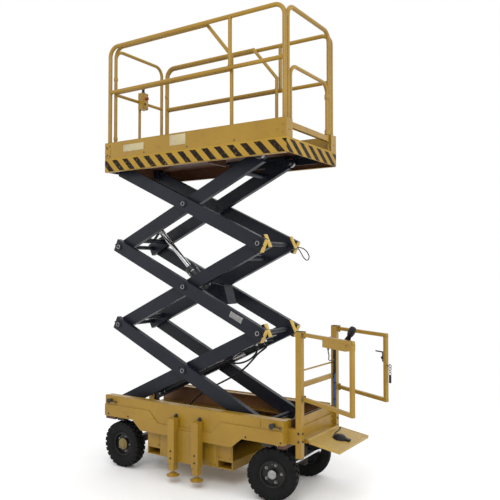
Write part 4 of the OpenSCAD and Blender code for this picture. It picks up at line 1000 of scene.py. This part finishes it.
lever = Vector((math.sin(LEVER_TILT), 0, math.cos(LEVER_TILT)))
for i in range(5):
    spot = LEVER_BASE + lever * (0.009 + 0.008 * i)
    switches.torus(spot, lever, 0.0195 - 0.0015 * i, 0.0038, 24, 8)
switches.done("control_switches", "guard_near", "black_plastic")
head = Shape(near)
head.lathe(LEVER_BASE, lever, LEVER_HEAD, 32)
head.done("control_head", "guard_near", "black_plastic")
stop = Shape(near)
stop.lathe((0.305, BUTTON_Y, LID_TOP), UP, STOP_BUTTON, 28)
stop.done("control_stop", "guard_near", "black_plastic", red_plastic)
start = Shape(near)
start.lathe((0.405, BUTTON_Y, LID_TOP), UP, START_BUTTON, 24)
start.done("control_start", "guard_near", "black_plastic", green_plastic)

# Latch, hook and weight of the far guard
HOOK_X = GUARD_L + 0.037
HOOK_Z = 1.095
LATCH_KNOB = [(0, -0.008), (0.011, -0.008), (0.012, 0), (0.011, 0.008), (0, 0.008)]
far = guard_frame(1)
latch = Shape(far)
latch.box((GUARD_L - 0.046, -0.012, 1.12), (GUARD_L - 0.028, 0.012, 1.2), 0.002)
latch.box((GUARD_L - 0.136, -0.007, 1.19), (GUARD_L - 0.032, 0.007, 1.199), 0.002)
latch.lathe((GUARD_L - 0.054, 0, 1.15), ACROSS, LATCH_KNOB, 20)
latch.done("guard_latch", "guard_far", "black_plastic")
hook = Shape(far)
hook.rod((GUARD_L, 0, HOOK_Z), (GUARD_L + 0.028, 0, HOOK_Z), 0.006, 14)
hook.torus((HOOK_X, 0, HOOK_Z), ACROSS, 0.013, 0.004, 20, 8)
for i in range(3):
    hook.torus((HOOK_X, 0, 1.073 - 0.018 * i), ACROSS if i % 2 else ALONG, 0.011, 0.0032, 18, 8)
hook.done("guard_hook", "guard_far", "steel")
weight = Shape(far)
weight.rod((HOOK_X, 0, 1.028), (HOOK_X, 0, 0.965), 0.0095, 16)
weight.done("guard_weight", "guard_far", "black_plastic")

# Step

STEP_HALF = 0.28
STEP_END = 0.289
STEP_TOP = 0.009
PEDAL_X = 0.157
CABLE_D = 0.008
PEDAL_LINE = ((0.1, 0.008, 0.0145), (0.088, 0.03, 0.0135), (0.072, 0.1, 0.0135), (0.06, 0.18, 0.0135),
              (0.05, 0.235, 0.0135), (0.03, 0.255, 0.0135))
step = step_frame()
tread = Shape(step)
checker(tread, 0.04, 0.275, -0.265, 0.265, STEP_TOP, 0.022, 0.0075, 0.001)
tread.done("step_tread", "step", "yellow_paint", step_paint)
rim = Shape(step)
rim.box((STEP_END - 0.008, -STEP_HALF, -0.0125), (STEP_END, STEP_HALF, 0.0115), 0.002)
for side in SIDES:
    y = side * STEP_HALF
    rim.box((0.022, y - 0.003, -0.0125), (STEP_END, y + 0.003, 0.0115), 0.002)
rim.done("step_rim", "step", "yellow_paint", step_paint)
pedal = Shape(step)
pedal.torus((PEDAL_X, 0, 0.0135), UP, 0.0585, 0.004, 40, 8)
for side in SIDES:
    pedal.bolt((PEDAL_X, side * 0.069, STEP_TOP), UP, 0.005)
pedal.done("pedal_skirt", "step", "black_rubber")
cable = [step @ Vector(p) for p in PEDAL_LINE]
cord("pedal_cable", "step", "black_rubber", cable, CABLE_D)

# Free cords of the station and the scissor

# Lines of the control cable: from the far post, then under the control box on its guard
CABLE_LINE = ((1.06, 0.276, 1.06), (1.076, 0.235, 1.068), (1.11, 0.14, 1.08), (1.17, 0.0, 1.1),
              (1.24, -0.18, 1.125), (1.3, -0.33, 1.155))
CABLE_END = ((0.285, 0.036, 1.2), (GLAND_X, GLAND_Y, 1.232), (GLAND_X, GLAND_Y, 1.262))
# Line of the lanyard, from its eye
LANYARD_LINE = ((0.004, -0.008, 0.004), (0.03, -0.01, 0.004), (0.07, -0.012, -0.006), (0.105, -0.01, -0.034),
                (0.122, 0.0, -0.072), (0.113, 0.006, -0.104), (0.088, 0.01, -0.108), (0.06, 0.013, -0.084),
                (0.038, 0.013, -0.05), (0.018, 0.011, -0.018), (0.002, 0.008, -0.006))
LANYARD_D = 0.009
gland = Shape(near)
gland.lathe((GLAND_X, GLAND_Y, 1.2645), DOWN, GLAND, 20)
gland.done("control_gland", "guard_near", "black_plastic")
cable = [*CABLE_LINE, *(near @ Vector(p) for p in CABLE_END)]
cord("control_cable", "chassis", "black_rubber", cable, CABLE_D, "guard_near")
eye = outer_frame(3) @ Vector((ARM_L + ARM_OVER + TIP_L, OUTER_Y, 0))
ring = Shape(move(*eye))
ring.torus((0.008, 0, 0), ACROSS, 0.009, 0.0025, 20, 8)
ring.done("lanyard_eye", "outer_3", "steel")
lanyard = [eye + Vector(p) for p in LANYARD_LINE]
cord("lanyard", "outer_3", "black_rubber", lanyard, LANYARD_D)

# Nodes with a paint of their own; the deck and the cross members get a dark brown that is painted shade

own_paint_and_shade = {"deck": painted_shade_brown, "cross_members": painted_shade_brown, "step_plate": step_paint}
# Front rims are black; the rear rims' black is painted shade
for label in ("rear_near", "rear_far", "front_near", "front_far"):
    own_paint_and_shade["rim_" + label] = rim_black_and_shade
for name, mat in own_paint_and_shade.items():
    nodes[name].data.materials[0] = mat
# The side beams are brown on their inward faces
for name, inward in (("side_beam_near", 1), ("side_beam_far", -1)):
    beam = nodes[name].data
    beam.materials.append(inside_paint)
    for face in beam.polygons:
        if face.normal.y * inward > 0.5:
            face.material_index = 1

# Camera and light

CAMERA_RISE = math.radians(1.68)
CAMERA_TURN = math.radians(33.09)
camera = bpy.data.objects.new("camera", bpy.data.cameras.new("camera"))
camera.data.sensor_width = 36
camera.data.lens = 45.53
camera.location = (3.4544, -4.7419, 1.8523)
camera.rotation_euler = (math.pi / 2 + CAMERA_RISE, 0, CAMERA_TURN)
bpy.context.scene.collection.objects.link(camera)
bpy.context.scene.camera = camera


def lamp(name, place, target, size, power):
    """Soft box that looks at its target."""
    data = bpy.data.lights.new(name, "AREA")
    data.shape = "RECTANGLE"
    data.size = size[0]
    data.size_y = size[1]
    data.energy = power
    thing = bpy.data.objects.new(name, data)
    thing.location = place
    thing.rotation_euler = (Vector(target) - Vector(place)).to_track_quat("-Z", "Y").to_euler()
    bpy.context.scene.collection.objects.link(thing)


lamp("key", (2.5, -6.0, 6.5), (0, 0, 1.6), (4, 4), 190)
lamp("fill", (-6.0, -4.5, 3.5), (0, 0, 1.6), (4, 5), 30)
lamp("right", (6.5, -0.5, 3.0), (0.5, 0, 1.5), (3, 4), 90)
lamp("back", (1.5, 6.5, 5.5), (0, 0, 2.0), (5, 3), 40)
lamp("top", (0, 0, 9.0), (0, 0, 0), (5, 5), 60)

world = bpy.data.worlds.new("studio")
bpy.context.scene.world = world
world.use_nodes = True
world.node_tree.nodes["Background"].inputs["Color"].default_value = (1.0, 1.0, 1.0, 1)
world.node_tree.nodes["Background"].inputs["Strength"].default_value = 1.0

# Pale floor that fades to white away from the lift, for what the camera and reflections see
FLOOR_HALF = 40
FADE_FROM = 1.8
FADE_TO = 5.0
floor_mesh = bpy.data.meshes.new("floor")
corners = [(FLOOR_HALF * x, FLOOR_HALF * y, 0) for x, y in ((-1, -1), (1, -1), (1, 1), (-1, 1))]
floor_mesh.from_pydata(corners, [], [(0, 1, 2, 3)])
floor = bpy.data.objects.new("floor", floor_mesh)
bpy.context.scene.collection.objects.link(floor)
pale, tree, shader = new_material("pale_floor")
where = coords(tree)
shade = mix(tree, ramp(tree, noise(tree, where, 1.5), 0.3, 0.7), (0.94, 0.94, 0.94), (0.92, 0.92, 0.92))
finish_surface(tree, shader, where, shade, (0.6, 0.75), 0.03, 90.0)
away = tree.nodes.new("ShaderNodeVectorMath")
away.operation = "LENGTH"
tree.links.new(where, away.inputs[0])
fade = ramp(tree, away.outputs["Value"], FADE_FROM, FADE_TO)
rays = tree.nodes.new("ShaderNodeLightPath")
seen = math_node(tree, "MAXIMUM", rays.outputs["Is Camera Ray"], rays.outputs["Is Glossy Ray"])
seen = math_node(tree, "MAXIMUM", seen, rays.outputs["Is Transmission Ray"])
white = tree.nodes.new("ShaderNodeEmission")
both = tree.nodes.new("ShaderNodeMixShader")
tree.links.new(math_node(tree, "MULTIPLY", fade, seen), both.inputs[0])
tree.links.new(shader.outputs[0], both.inputs[1])
tree.links.new(white.outputs[0], both.inputs[2])
tree.links.new(both.outputs[0], tree.nodes["Material Output"].inputs["Surface"])
floor_mesh.materials.append(pale)

view = bpy.context.scene.view_settings
view.view_transform = "Standard"
view.look = "None"
view.exposure = 0.0
view.gamma = 1.0
